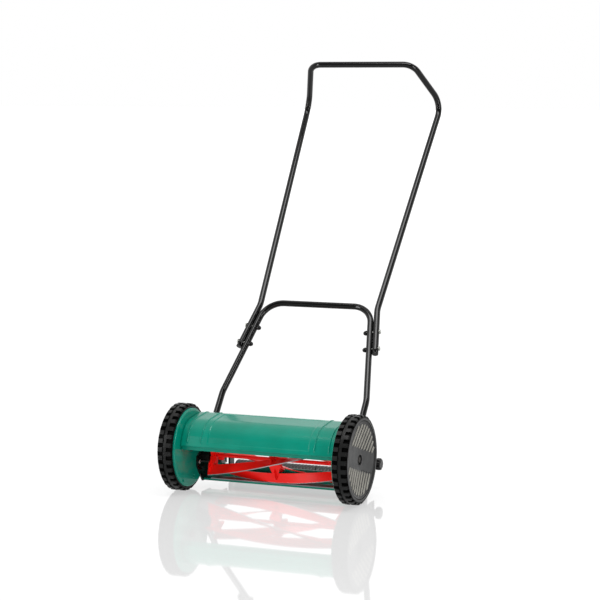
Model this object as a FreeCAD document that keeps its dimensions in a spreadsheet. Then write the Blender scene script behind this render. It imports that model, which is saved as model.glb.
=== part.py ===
import FreeCAD, Part
import Sketcher
import math
import os
import re

# Hand-push reel mower.  +X is the operator's left, -Y is the direction of mowing, +Z is up.
# The origin is on the ground, midway between the two wheels and straight below their axle.
# Pieces that come in pairs are drawn on the left side and mirrored across the YZ plane.

DRIVING_SIZES = [
    # wheels and tyres
    ("wheel_radius", 115.0),
    ("lug_height", 6.0),
    ("lug_count", 32),
    ("lug_share", 0.56),
    ("lug_row_gap", 1.6),
    ("lug_side_margin", 1.2),
    ("tyre_band", 2.2),
    ("tyre_width", 41.0),
    ("tyre_plate_gap", 4.8),
    ("edge_chamfer", 1.0),
    ("rim_wall", 3.0),
    ("web_recess", 11.0),
    ("web_thickness", 4.0),
    ("hub_radius", 16.0),
    ("hub_recess", 2.5),
    ("bush_wall", 2.5),
    ("cap_seat", 7.4),
    ("cap_gap", 0.8),
    ("cap_thickness", 2.5),
    ("cap_rim_depth", 1.0),
    ("cap_dish", 6.0),
    ("cap_hole_radius", 12.5),
    ("axle_radius", 8.0),
    ("axle_flange_radius", 19.0),
    ("axle_flange_thickness", 2.5),
    ("running_gap", 0.05),
    ("moving_gap", 0.4),
    # gears
    ("gear_module", 2.5),
    ("pinion_teeth", 11),
    ("pressure_angle", 25.0),
    ("gear_backlash", 0.3),
    ("gear_width", 12.0),
    ("gear_plate_gap", 11.8),
    ("ring_gap", 0.8),
    ("ring_wall", 3.2),
    # side plates
    ("plate_reel_gap", 28.2),
    ("plate_thickness", 2.5),
    ("plate_rim_gap", 1.0),
    ("plate_rim_depth", 10.0),
    ("plate_edge_radius", 4.0),
    ("hook_hole_y", 13.5),
    ("hook_hole_drop", 79.4),
    ("hook_hole_pitch", 66.0),
    ("hook_hole_radius", 3.2),
    # reel
    ("reel_drop", 31.0),
    ("reel_radius", 60.0),
    ("reel_length", 374.0),
    ("blade_count", 5),
    ("blade_width", 26.0),
    ("blade_thickness", 2.4),
    ("blade_tilt", 20.0),
    ("blade_twist", 96.0),
    ("blade_start_angle", 235.0),
    ("shaft_radius", 5.0),
    ("spider_thickness", 2.5),
    ("spider_hub_radius", 13.0),
    ("spider_hub_length", 12.0),
    ("spider_end_inset", 6.0),
    ("web_half_width", 16.0),
    ("web_sheet", 2.0),
    ("pawl_width", 3.0),
    ("pawl_height", 2.2),
    ("clip_thickness", 1.2),
    ("clip_wall", 2.2),
    # reel bearings
    ("neck_radius", 17.0),
    ("shield_radius", 21.0),
    ("shield_thickness", 3.6),
    ("shield_reel_gap", 2.5),
    ("bearing_radius", 11.0),
    ("bearing_width", 9.0),
    # bed bar and bed knife
    ("knife_gap", 0.4),
    ("knife_thickness", 3.0),
    ("knife_overhang", 3.0),
    ("knife_front", 9.0),
    ("knife_width", 36.0),
    ("bed_front_margin", 3.0),
    ("bed_floor", 5.0),
    ("bed_wall", 3.0),
    ("bed_back_rise", 30.0),
    ("bed_back_reach", 60.0),
    ("bed_screw_count", 6),
    ("bed_screw_radius", 3.0),
    ("bed_screw_head", 2.2),
    ("bracket_reach", 45.8),
    ("bracket_bolt_reach", 33.8),
    ("bracket_bolt_drop", 14.0),
    # cover
    ("cover_sheet", 1.5),
    ("cover_crest_y", 50.0),
    ("cover_crest_rise", 85.5),
    ("cover_rear_y", 80.0),
    ("cover_rear_drop", 3.5),
    ("cover_hem", 11.0),
    ("cover_corner_y", -46.0),
    ("cover_corner_rise", 75.0),
    ("cover_front_y", -70.0),
    ("cover_front_rise", 15.0),
    ("cover_front_bend", 70.0),
    ("cover_lip_step", 5.0),
    ("cover_lip_drop", 10.0),
    ("cover_small_bend", 3.0),
    # rear brackets, roller and height adjusters
    ("arm_thickness", 4.0),
    ("arm_rear_margin", 14.0),
    ("slot_margin", 10.0),
    ("roller_y", 204.0),
    ("roller_radius", 24.6),
    ("roller_wall", 5.0),
    ("roller_end_gap", 15.0),
    ("roller_segments", 3),
    ("roller_segment_gap", 1.0),
    ("roller_axle_radius", 5.0),
    ("holder_arm_gap", 16.2),
    ("holder_thickness", 5.0),
    ("holder_half_width", 14.0),
    ("holder_foot_z", 12.5),
    ("boss_radius", 11.0),
    ("height_bolt_z", 65.0),
    ("height_bolt_radius", 4.0),
    ("height_up", 9.0),
    ("height_down", 19.0),
    ("slot_gap", 0.4),
    ("knob_radius", 16.5),
    ("knob_lobe_radius", 3.2),
    ("knob_lobes", 9),
    ("knob_stem_radius", 9.0),
    ("knob_plate_gap", 10.8),
    ("knob_length", 14.0),
    # handle
    ("tube_radius", 8.5),
    ("tube_wall", 1.4),
    ("tube_pair_gap", 0.3),
    ("pivot_y", 84.0),
    ("pivot_rise", 4.3),
    ("handle_tilt", 39.0),
    ("foot_plate_gap", 0.7),
    ("handle_tail", 11.0),
    ("handle_knee", 150.0),
    ("handle_knee_bend", 110.0),
    ("crossbar_rise", 439.0),
    ("crossbar_inset", 54.0),
    ("crossbar_bend", 60.0),
    ("upper_start", 295.0),
    ("upper_kink", 432.0),
    ("upper_kink_bend", 90.0),
    ("upper_top_inset", 2.5),
    ("upper_top", 1133.0),
    ("upper_top_bend", 48.0),
    ("grip_inset", 52.3),
    ("grip_reach", 602.0),
    ("grip_rise", 992.7),
    ("grip_bend", 40.0),
    ("joint_bolt_low", 307.7),
    ("joint_bolt_high", 360.0),
    ("joint_bolt_radius", 3.0),
    ("bolt_hole_gap", 0.2),
    ("pivot_bolt_radius", 4.0),
    ("stop_pin_radius", 4.0),
]

# Places that follow from the driving sizes.
WORKED_OUT = [
    ("axle_z", "Sizes.wheel_radius"),
    ("lug_root_radius", "Sizes.wheel_radius - Sizes.lug_height"),
    ("rim_outer_radius", "lug_root_radius - Sizes.tyre_band"),
    ("rim_inner_radius", "rim_outer_radius - Sizes.rim_wall"),
    ("plate_radius", "rim_inner_radius - Sizes.plate_rim_gap"),
    ("cap_radius", "rim_outer_radius - Sizes.cap_seat"),
    ("bush_radius", "Sizes.axle_radius + Sizes.running_gap + Sizes.bush_wall"),
    # across the mower, from the reel outwards
    ("reel_half", "Sizes.reel_length / 2"),
    ("shield_inner_x", "reel_half + Sizes.shield_reel_gap"),
    ("plate_inner_x", "reel_half + Sizes.plate_reel_gap"),
    ("plate_outer_x", "plate_inner_x + Sizes.plate_thickness"),
    ("arm_inner_x", "plate_inner_x - Sizes.arm_thickness"),
    ("gear_inner_x", "plate_inner_x + Sizes.gear_plate_gap"),
    ("gear_outer_x", "gear_inner_x + Sizes.gear_width"),
    ("tyre_inner_x", "plate_inner_x + Sizes.tyre_plate_gap"),
    ("tyre_outer_x", "tyre_inner_x + Sizes.tyre_width"),
    ("web_outer_x", "tyre_outer_x - Sizes.web_recess"),
    ("web_inner_x", "web_outer_x - Sizes.web_thickness"),
    ("hub_inner_x", "tyre_inner_x + Sizes.hub_recess"),
    ("knob_inner_x", "plate_inner_x + Sizes.knob_plate_gap"),
    ("knob_outer_x", "knob_inner_x + Sizes.knob_length"),
    ("holder_outer_x", "arm_inner_x - Sizes.holder_arm_gap"),
    ("roller_length", "2 * (holder_outer_x - Sizes.holder_thickness - Sizes.roller_end_gap)"),
    ("knife_length", "Sizes.reel_length + 2 * Sizes.knife_overhang"),
    ("handle_foot_x", "plate_inner_x - Sizes.tube_radius - Sizes.foot_plate_gap"),
    ("crossbar_corner_x", "handle_foot_x - Sizes.crossbar_inset"),
    ("upper_top_x", "handle_foot_x - Sizes.upper_top_inset"),
    ("grip_corner_x", "handle_foot_x - Sizes.grip_inset"),
    # the ring takes as many teeth as fit inside the plate's rim, and sets the reel's place
    ("ring_room", "plate_radius - Sizes.plate_thickness - Sizes.ring_gap - Sizes.ring_wall"),
    ("ring_teeth", "floor(2 * (ring_room / Sizes.gear_module - 1))"),
    ("ring_outer_radius", "Sizes.gear_module * (ring_teeth / 2 + 1) + Sizes.ring_wall"),
    ("gear_centres", "Sizes.gear_module * (ring_teeth - Sizes.pinion_teeth) / 2"),
    ("reel_z", "axle_z - Sizes.reel_drop"),
    ("reel_y", "sqrt(gear_centres ^ 2 - Sizes.reel_drop ^ 2)"),
    # bed, brackets and roller
    ("knife_top_z", "reel_z - Sizes.reel_radius - Sizes.knife_gap"),
    ("bed_top_z", "knife_top_z - Sizes.knife_thickness"),
    ("bed_bottom_z", "bed_top_z - Sizes.bed_floor"),
    ("bed_front_y", "reel_y - Sizes.knife_front + Sizes.bed_front_margin"),
    ("bed_rear_y", "reel_y - Sizes.knife_front + Sizes.knife_width"),
    ("bracket_bolt_y", "reel_y - Sizes.bracket_bolt_reach"),
    ("bracket_bolt_z", "reel_z - Sizes.bracket_bolt_drop"),
    ("slot_low_z", "Sizes.height_bolt_z - Sizes.height_down"),
    ("slot_high_z", "Sizes.height_bolt_z + Sizes.height_up"),
    # heights that follow the wheels
    ("hook_hole_z", "axle_z - Sizes.hook_hole_drop"),
    ("pivot_z", "axle_z + Sizes.pivot_rise"),
    ("cover_crest_z", "axle_z + Sizes.cover_crest_rise"),
    ("cover_corner_z", "axle_z + Sizes.cover_corner_rise"),
    ("cover_front_z", "axle_z + Sizes.cover_front_rise"),
    ("grip_y", "Sizes.pivot_y + Sizes.grip_reach"),
    ("grip_z", "pivot_z + Sizes.grip_rise"),
]

doc = FreeCAD.newDocument("ReelMower")
nodes = {}


def make_sheet(name, rows):
    """Write named rows into a sheet: plain numbers, or formulas over the sheet of sizes."""
    sheet = doc.addObject("Spreadsheet::Sheet", name)
    for row, (alias, content) in enumerate(rows, start=1):
        text = "=" + content if isinstance(content, str) else str(content)
        sheet.set("A%d" % row, alias)
        sheet.set("B%d" % row, text)
        sheet.setAlias("B%d" % row, alias)
    doc.recompute()
    return sheet


sizes = make_sheet("Sizes", DRIVING_SIZES)
places = make_sheet("Places", WORKED_OUT)
SHEET_OF = {alias: "Sizes." for alias, _ in DRIVING_SIZES}
SHEET_OF.update({alias: "Places." for alias, _ in WORKED_OUT})


def formula(words):
    """Turn a formula over plain names into one that names the sheet of each value."""
    return re.sub(r"[a-z_]+", lambda found: SHEET_OF.get(found.group(0), "") + found.group(0), words)


def value(words):
    """Work out a formula over plain names as a number."""
    result = sizes.evalExpression(formula(words))
    return float(getattr(result, "Value", result))


def bind(target, path, words):
    target.setExpression(path, formula(words))


def keep(name, target):
    """Make an object the one that stands for a named piece of the mower."""
    target.Label = name
    nodes[name] = target
    return target


def mirrored(name, source):
    """The right-hand twin of a left-hand piece."""
    twin = doc.addObject("Part::Mirroring", name)
    twin.Source = source
    twin.Normal = FreeCAD.Vector(1, 0, 0)
    return twin


def pair(name, source):
    """Keep a left-hand piece and its mirror image as two nodes."""
    keep("left_" + name, source)
    keep("right_" + name, mirrored("right_" + name, source))


def group(name, members):
    """Identical pieces that share one node."""
    compound = doc.addObject("Part::Compound", name)
    compound.Links = members
    return keep(name, compound)


def small_pair(name, source):
    """A small fastener and its mirror image, which share one node."""
    return group(name, [source, mirrored("right_" + name, source)])


def new_body(name, across_y="0", up_z="0"):
    body = doc.addObject("PartDesign::Body", name)
    bind(body, "Placement.Base.y", across_y)
    bind(body, "Placement.Base.z", up_z)
    return body


def origin_feature(body, role):
    return [item for item in body.Origin.OriginFeatures if item.Role == role][0]


def place_point(sketch, geometry, end, across, up):
    """Tie a point of a sketch to the sketch's axes with formulas."""
    for axis, kind, words in ((-2, "DistanceX", across), (-1, "DistanceY", up)):
        if abs(value(words)) < 1e-9:
            sketch.addConstraint(Sketcher.Constraint("PointOnObject", geometry, end, axis))
            continue
        index = sketch.addConstraint(Sketcher.Constraint(kind, -1, 1, geometry, end, value(words)))
        bind(sketch, "Constraints[%d]" % index, words)


def new_sketch(body, plane, offset="0"):
    sketch = body.newObject("Sketcher::SketchObject", "sketch")
    sketch.AttachmentSupport = [(origin_feature(body, plane), "")]
    sketch.MapMode = "FlatFace"
    bind(sketch, "AttachmentOffset.Base.z", offset)
    return sketch


def outline(body, plane, corners, offset="0"):
    """A closed outline of straight lines through corners given as formulas."""
    sketch = new_sketch(body, plane, offset)
    points = [FreeCAD.Vector(value(across), value(up), 0) for across, up in corners]
    count = len(points)
    for index in range(count):
        sketch.addGeometry(Part.LineSegment(points[index], points[(index + 1) % count]))
    for index in range(count):
        sketch.addConstraint(Sketcher.Constraint("Coincident", index, 2, (index + 1) % count, 1))
    for index, (across, up) in enumerate(corners):
        place_point(sketch, index, 1, across, up)
    return sketch


def circles(body, plane, centres, radius, offset="0"):
    """Circles of one radius at centres given as formulas."""
    sketch = new_sketch(body, plane, offset)
    for index, (across, up) in enumerate(centres):
        centre = FreeCAD.Vector(value(across), value(up), 0)
        sketch.addGeometry(Part.Circle(centre, FreeCAD.Vector(0, 0, 1), value(radius)))
        place_point(sketch, index, 3, across, up)
        size = sketch.addConstraint(Sketcher.Constraint("Radius", index, value(radius)))
        bind(sketch, "Constraints[%d]" % size, radius)
    return sketch


def turned(name, corners, across_y="0", up_z="axle_z"):
    """A piece turned about a line along X; corners are (x, radius)."""
    body = new_body(name, across_y, up_z)
    profile = outline(body, "XY_Plane", corners)
    turn = body.newObject("PartDesign::Revolution", "turn")
    turn.Profile = profile
    turn.ReferenceAxis = (origin_feature(body, "X_Axis"), [""])
    turn.Angle = 360
    doc.recompute()
    return body


def pad(body, profile, length):
    """Thicken an outline along +X by a length given as a formula."""
    step = body.newObject("PartDesign::Pad", "pad")
    step.Profile = profile
    bind(step, "Length", length)
    doc.recompute()
    return step


def cut(body, profile, length):
    """Cut an outline out of a body along +X by a length, and see that metal really went."""
    before = body.Shape.Volume
    step = body.newObject("PartDesign::Pocket", "cut")
    step.Profile = profile
    step.Reversed = True
    bind(step, "Length", length)
    doc.recompute()
    if body.Shape.Volume > before - 1e-6:
        raise RuntimeError("a cut in %s removes nothing" % body.Label)
    return step


def around(body, steps, count):
    """Repeat steps round the body's X axis."""
    ring = body.newObject("PartDesign::PolarPattern", "ring")
    ring.Originals = steps
    ring.Axis = (origin_feature(body, "X_Axis"), [""])
    ring.Angle = 360
    bind(ring, "Occurrences", count)
    body.Tip = ring
    doc.recompute()
    return ring


def plate(name, corners, from_x, thickness):
    """A flat piece square to X; corners are (y, z)."""
    body = new_body(name)
    pad(body, outline(body, "YZ_Plane", corners, from_x), thickness)
    return body


# ---------------------------------------------------------------- wheels

def make_tyre():
    """Rubber band with two staggered rows of lugs, each chamfered down to the shoulder."""
    body = turned("tyre", [
        ("tyre_inner_x", "rim_outer_radius"),
        ("tyre_outer_x", "rim_outer_radius"),
        ("tyre_outer_x", "lug_root_radius - edge_chamfer"),
        ("tyre_outer_x - edge_chamfer", "lug_root_radius"),
        ("tyre_inner_x + edge_chamfer", "lug_root_radius"),
        ("tyre_inner_x", "lug_root_radius - edge_chamfer"),
    ])
    row = "((tyre_outer_x - tyre_inner_x - lug_row_gap) / 2 - lug_side_margin)"
    half = "wheel_radius * sin(lug_share * 180 / lug_count)"
    for number, from_x in enumerate(("tyre_inner_x + lug_side_margin",
                                     "(tyre_outer_x + tyre_inner_x + lug_row_gap) / 2")):
        corners = [
            ("-(%s)" % half, "lug_root_radius - edge_chamfer"),
            ("%s" % half, "lug_root_radius - edge_chamfer"),
            ("%s" % half, "lug_root_radius + edge_chamfer"),
            ("(%s) * 0.86" % half, "wheel_radius - 0.5"),
            ("-(%s) * 0.86" % half, "wheel_radius - 0.5"),
            ("-(%s)" % half, "lug_root_radius + edge_chamfer"),
        ]
        profile = outline(body, "YZ_Plane", corners, from_x)
        lug = pad(body, profile, row)
        if number:
            # the outer row starts half a pitch further round
            bind(profile, "AttachmentOffset.Rotation.Angle", "180 / lug_count")
        around(body, [lug], "lug_count")
    return body


def make_wheel():
    """Moulded rim, web and hub in one piece."""
    body = turned("wheel", [
        ("hub_inner_x", "bush_radius"),
        ("web_outer_x", "bush_radius"),
        ("web_outer_x", "cap_radius + cap_gap"),
        ("tyre_outer_x", "cap_radius + cap_gap"),
        ("tyre_outer_x", "rim_outer_radius"),
        ("tyre_inner_x", "rim_outer_radius"),
        ("tyre_inner_x", "rim_inner_radius"),
        ("web_inner_x", "rim_inner_radius"),
        ("web_inner_x", "hub_radius"),
        ("hub_inner_x", "hub_radius"),
    ])
    return body


def make_wheel_cap():
    """Dished outer cover of the wheel with an open centre."""
    return turned("wheel_cap", [
        ("tyre_outer_x - cap_rim_depth - cap_thickness", "cap_radius"),
        ("tyre_outer_x - cap_rim_depth", "cap_radius"),
        ("tyre_outer_x - cap_rim_depth", "cap_radius - 4"),
        ("tyre_outer_x - cap_dish", "cap_hole_radius + 8"),
        ("tyre_outer_x - cap_dish", "cap_hole_radius"),
        ("tyre_outer_x - cap_dish - cap_thickness", "cap_hole_radius"),
        ("tyre_outer_x - cap_dish - cap_thickness", "cap_hole_radius + 8"),
        ("tyre_outer_x - cap_rim_depth - cap_thickness", "cap_radius - 4"),
    ])


def gear_wire(teeth, root_radius, tip_radius, thinning, turn):
    """Outline of an involute gear in the YZ plane, its first tooth at the angle `turn`.

    A tooth's flank follows the involute of the base circle, its width on the pitch circle is half
    a pitch less the thinning, and a straight radial line goes on below the base circle.
    """
    pitch_radius = sizes.gear_module * teeth / 2
    base_radius = pitch_radius * math.cos(math.radians(sizes.pressure_angle))

    def roll(radius):
        angle = math.acos(min(1.0, base_radius / radius))
        return math.tan(angle) - angle

    half_at_pitch = math.pi / (2 * teeth) - thinning / (2 * pitch_radius) + roll(pitch_radius)

    def point(radius, side, centre):
        angle = centre + side * (half_at_pitch - (roll(radius) if radius > base_radius else 0))
        return FreeCAD.Vector(0, radius * math.cos(angle), radius * math.sin(angle))

    start = max(root_radius, base_radius)
    radii = [start + (tip_radius - start) * step / 4 for step in range(5)]
    edges = []
    for tooth in range(teeth):
        centre = turn + 2 * math.pi * tooth / teeth
        following = turn + 2 * math.pi * (tooth + 1) / teeth
        rising = [point(radius, -1, centre) for radius in radii]
        falling = [point(radius, 1, centre) for radius in reversed(radii)]
        foot = point(root_radius, 1, centre)
        next_foot = point(root_radius, -1, following)
        middle = (centre + following) / 2
        valley = FreeCAD.Vector(0, root_radius * math.cos(middle), root_radius * math.sin(middle))
        crown = FreeCAD.Vector(0, tip_radius * math.cos(centre), tip_radius * math.sin(centre))
        for side in (rising, falling):
            curve = Part.BSplineCurve()
            curve.interpolate(side)
            edges.append(curve.toShape())
        edges.append(Part.Arc(rising[-1], crown, falling[0]).toShape())
        if start > root_radius + 1e-6:
            edges.append(Part.makeLine(falling[-1], foot))
            edges.append(Part.makeLine(next_foot, point(start, -1, following)))
        edges.append(Part.Arc(foot, valley, next_foot).toShape())
    return Part.Wire(Part.__sortEdges__(edges))


def solid_feature(name, shape):
    """A piece whose form is worked out here from the sheet's sizes."""
    feature = doc.addObject("Part::Feature", name)
    feature.Shape = shape
    return feature


def gear_direction():
    """Angle in the YZ plane from the wheel's axle to the reel's shaft."""
    return math.atan2(-sizes.reel_drop, places.reel_y)


def make_ring_gear():
    """Ring with inward teeth that turns with the wheel, and the flange that seats on its web."""
    radius = places.ring_outer_radius
    module = sizes.gear_module
    along = FreeCAD.Vector(1, 0, 0)
    foot = FreeCAD.Vector(places.gear_inner_x, 0, 0)
    depth = places.web_inner_x - places.gear_inner_x
    blank = Part.makeCylinder(radius, depth, foot, along)
    pitch_radius = module * places.ring_teeth / 2
    wire = gear_wire(int(places.ring_teeth), pitch_radius - 0.8 * module, pitch_radius + module,
                     -sizes.gear_backlash / 2, gear_direction())
    wire.translate(foot)
    teeth = Part.Face(wire).extrude(FreeCAD.Vector(sizes.gear_width, 0, 0))
    eye = Part.makeCylinder(pitch_radius - 2 * module, depth + 1, foot, along)
    shape = blank.cut(teeth).cut(eye).removeSplitter()
    shape.translate(FreeCAD.Vector(0, 0, places.axle_z))
    return solid_feature("ring_gear", shape)


def make_pinion():
    """Small gear on the end of the reel's shaft."""
    module = sizes.gear_module
    pitch_radius = module * sizes.pinion_teeth / 2
    foot = FreeCAD.Vector(places.gear_inner_x, 0, 0)
    wire = gear_wire(int(sizes.pinion_teeth), pitch_radius - module, pitch_radius + 0.8 * module,
                     sizes.gear_backlash / 2, gear_direction())
    wire.translate(foot)
    length = sizes.gear_width - sizes.moving_gap
    blank = Part.Face(wire).extrude(FreeCAD.Vector(length, 0, 0))
    bore = Part.makeCylinder(sizes.shaft_radius, length, foot, FreeCAD.Vector(1, 0, 0))
    slot = pawl_box(places.gear_inner_x, length)
    shape = blank.cut(bore).cut(slot).removeSplitter()
    shape.translate(FreeCAD.Vector(0, places.reel_y, places.reel_z))
    return solid_feature("pinion", shape)


def pawl_box(from_x, length):
    """The space of the driving pawl, half sunk in the shaft, along the shaft's top."""
    low = sizes.shaft_radius - sizes.pawl_height / 2
    corner = FreeCAD.Vector(from_x, -sizes.pawl_width / 2, low)
    return Part.makeBox(length, sizes.pawl_width, sizes.pawl_height, corner)


def make_pawl():
    shape = pawl_box(places.gear_inner_x + 1, sizes.gear_width - 2 - sizes.moving_gap)
    shape.translate(FreeCAD.Vector(0, places.reel_y, places.reel_z))
    return solid_feature("pawl", shape)


def make_wheels():
    pair("tyre", make_tyre())
    pair("wheel", make_wheel())
    pair("wheel_cap", make_wheel_cap())
    pair("ring_gear", make_ring_gear())
    pair("wheel_bush", turned("wheel_bush", [
        ("hub_inner_x", "axle_radius + running_gap"),
        ("web_outer_x", "axle_radius + running_gap"),
        ("web_outer_x", "bush_radius"),
        ("hub_inner_x", "bush_radius"),
    ]))
    pair("wheel_axle", turned("wheel_axle", [
        ("plate_inner_x - 3", "0"),
        ("web_outer_x + 4", "0"),
        ("web_outer_x + 4", "axle_radius - 1"),
        ("web_outer_x + 3", "axle_radius"),
        ("web_outer_x + moving_gap + clip_thickness", "axle_radius"),
        ("web_outer_x + moving_gap + clip_thickness", "axle_radius - 1"),
        ("web_outer_x + moving_gap", "axle_radius - 1"),
        ("web_outer_x + moving_gap", "axle_radius"),
        ("plate_outer_x + axle_flange_thickness", "axle_radius"),
        ("plate_outer_x + axle_flange_thickness", "axle_flange_radius"),
        ("plate_outer_x", "axle_flange_radius"),
        ("plate_outer_x", "axle_radius"),
        ("plate_inner_x", "axle_radius"),
        ("plate_inner_x", "axle_radius + 3"),
        ("plate_inner_x - 3", "axle_radius + 3"),
    ]))
    small_pair("axle_clips", turned("axle_clip", [
        ("web_outer_x + moving_gap", "axle_radius - 1"),
        ("web_outer_x + moving_gap + clip_thickness", "axle_radius - 1"),
        ("web_outer_x + moving_gap + clip_thickness", "axle_radius + clip_wall"),
        ("web_outer_x + moving_gap", "axle_radius + clip_wall"),
    ]))


# ---------------------------------------------------------------- side plates, bed and cover

HOOK_HOLES = [("hook_hole_y", "hook_hole_z"), ("hook_hole_y - hook_hole_pitch", "hook_hole_z")]


def make_side_plate():
    """Pressed disc with a rim turned out into the wheel, pierced for axle, bearing and bolts."""
    body = turned("side_plate", [
        ("plate_inner_x", "axle_radius"),
        ("plate_outer_x", "axle_radius"),
        ("plate_outer_x", "plate_radius - plate_thickness - plate_edge_radius"),
        ("plate_outer_x + plate_edge_radius", "plate_radius - plate_thickness"),
        ("plate_inner_x + plate_rim_depth", "plate_radius - plate_thickness"),
        ("plate_inner_x + plate_rim_depth", "plate_radius"),
        ("plate_inner_x + plate_edge_radius", "plate_radius"),
        ("plate_inner_x", "plate_radius - plate_edge_radius"),
    ])
    neck = circles(body, "YZ_Plane", [("reel_y", "reel_z - axle_z")], "neck_radius",
                   "plate_inner_x - 1")
    cut(body, neck, "plate_thickness + 2")
    pivot = circles(body, "YZ_Plane", [("pivot_y", "pivot_z - axle_z")],
                    "pivot_bolt_radius", "plate_inner_x - 1")
    cut(body, pivot, "plate_thickness + 2")
    bolt = [("bracket_bolt_y", "bracket_bolt_z - axle_z")]
    cut(body, circles(body, "YZ_Plane", bolt, "bed_screw_radius", "plate_inner_x - 1"),
        "plate_thickness + 2")
    hooks = [(across, up + " - axle_z") for across, up in HOOK_HOLES]
    cut(body, circles(body, "YZ_Plane", hooks, "hook_hole_radius", "plate_inner_x - 1"),
        "plate_thickness + 2")
    return body


def make_bracket():
    """Black arm that carries the bed bar in front and the roller's slotted end behind."""
    body = plate("rear_bracket", [
        ("reel_y - bracket_reach", "reel_z"),
        ("reel_y - bracket_reach", "reel_z - 26"),
        ("bed_front_y - 6", "bed_bottom_z - 1"),
        ("bed_rear_y + 10", "bed_bottom_z - 1"),
        ("bed_rear_y + 44", "slot_low_z"),
        ("roller_y - arm_rear_margin", "slot_low_z - slot_margin"),
        ("roller_y + arm_rear_margin", "slot_low_z - slot_margin"),
        ("roller_y + arm_rear_margin", "slot_high_z + slot_margin"),
        ("roller_y - arm_rear_margin", "slot_high_z + slot_margin"),
        ("reel_y + bracket_reach", "reel_z + 10"),
        ("reel_y - bracket_reach + neck_radius", "reel_z + 10"),
    ], "arm_inner_x", "arm_thickness")
    through = "arm_thickness + 2"
    start = "arm_inner_x - 1"
    cut(body, circles(body, "YZ_Plane", [("reel_y", "reel_z")], "neck_radius", start), through)
    bolt = [("bracket_bolt_y", "bracket_bolt_z")]
    cut(body, circles(body, "YZ_Plane", bolt, "bed_screw_radius", start), through)
    side = "height_bolt_radius + slot_gap"
    cut(body, outline(body, "YZ_Plane", [
        ("roller_y - (%s)" % side, "slot_low_z - (%s)" % side),
        ("roller_y + (%s)" % side, "slot_low_z - (%s)" % side),
        ("roller_y + (%s)" % side, "slot_high_z + (%s)" % side),
        ("roller_y - (%s)" % side, "slot_high_z + (%s)" % side),
    ], start), through)
    return body


def make_bed_bar():
    """Green pressed bar below the reel, with a sloping back wall."""
    body = new_body("bed_bar")
    slope = "bed_rear_y + bed_wall + 1"
    pad(body, outline(body, "YZ_Plane", [
        ("bed_front_y", "bed_bottom_z"),
        (slope, "bed_bottom_z"),
        ("reel_y + bed_back_reach", "bed_top_z + bed_back_rise"),
        ("reel_y + bed_back_reach - bed_wall", "bed_top_z + bed_back_rise"),
        (slope + " - bed_wall", "bed_top_z"),
        ("bed_front_y", "bed_top_z"),
    ], "-arm_inner_x"), "2 * arm_inner_x")
    return body


def make_bed_knife():
    body = new_body("bed_knife")
    pad(body, outline(body, "YZ_Plane", [
        ("reel_y - knife_front", "knife_top_z"),
        ("reel_y - knife_front + 1.2", "bed_top_z"),
        ("bed_rear_y", "bed_top_z"),
        ("bed_rear_y", "knife_top_z"),
    ], "-knife_length / 2"), "knife_length")
    return body


def x_rod(name, from_x, length, radius, across_y, up_z):
    """A plain round rod along X."""
    rod = doc.addObject("Part::Cylinder", name)
    rod.Placement.Rotation = FreeCAD.Rotation(FreeCAD.Vector(0, 1, 0), 90)
    bind(rod, "Placement.Base.x", from_x)
    bind(rod, "Placement.Base.y", across_y)
    bind(rod, "Placement.Base.z", up_z)
    bind(rod, "Radius", radius)
    bind(rod, "Height", length)
    return rod


def make_bed_screws():
    """Screws that hold the knife from below, standing in the bed bar and the knife."""
    count = int(sizes.bed_screw_count)
    screws = []
    for number in range(count):
        spot = "knife_length * ((%d + 0.5) / bed_screw_count - 0.5)" % number
        screw = doc.addObject("Part::Cylinder", "bed_screw")
        bind(screw, "Radius", "bed_screw_radius")
        bind(screw, "Height", "bed_floor + knife_thickness - 0.6")
        head = doc.addObject("Part::Cylinder", "bed_screw_head")
        bind(head, "Radius", "bed_screw_radius + 2.4")
        bind(head, "Height", "bed_screw_head")
        for part, low in ((screw, "bed_bottom_z"), (head, "bed_bottom_z - bed_screw_head")):
            bind(part, "Placement.Base.x", spot)
            bind(part, "Placement.Base.y", "(bed_front_y + bed_rear_y) / 2 + 6")
            bind(part, "Placement.Base.z", low)
        whole = doc.addObject("Part::Fuse", "bed_screw_whole")
        whole.Base = screw
        whole.Tool = head
        screws.append(whole)
    return screws


def pierced(name, base, tools):
    """A piece with the space of its screws taken out of it."""
    shape = doc.addObject("Part::Cut", name)
    shape.Base = base
    shape.Tool = tools
    return keep(name, shape)


def headed_pin(name, from_x, grip, radius, head, across_y, up_z, tail="0"):
    """A pin along X with a domed head at its inner end and a nut at its outer end."""
    corners = [
        (from_x, "0"),
        ("%s + (%s) + (%s)" % (from_x, grip, tail), "0"),
        ("%s + (%s) + (%s)" % (from_x, grip, tail), radius if value(tail) < 0.5 else head),
    ]
    if value(tail) > 0.5:
        corners += [("%s + (%s)" % (from_x, grip), head), ("%s + (%s)" % (from_x, grip), radius)]
    corners += [(from_x, radius)]
    corners += [(from_x, head), ("%s - 2" % from_x, head), ("%s - 3.5" % from_x, "(%s) * 0.6" % head)]
    corners += [("%s - 3.5" % from_x, "0")]
    return turned(name, corners, across_y, up_z)


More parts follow.
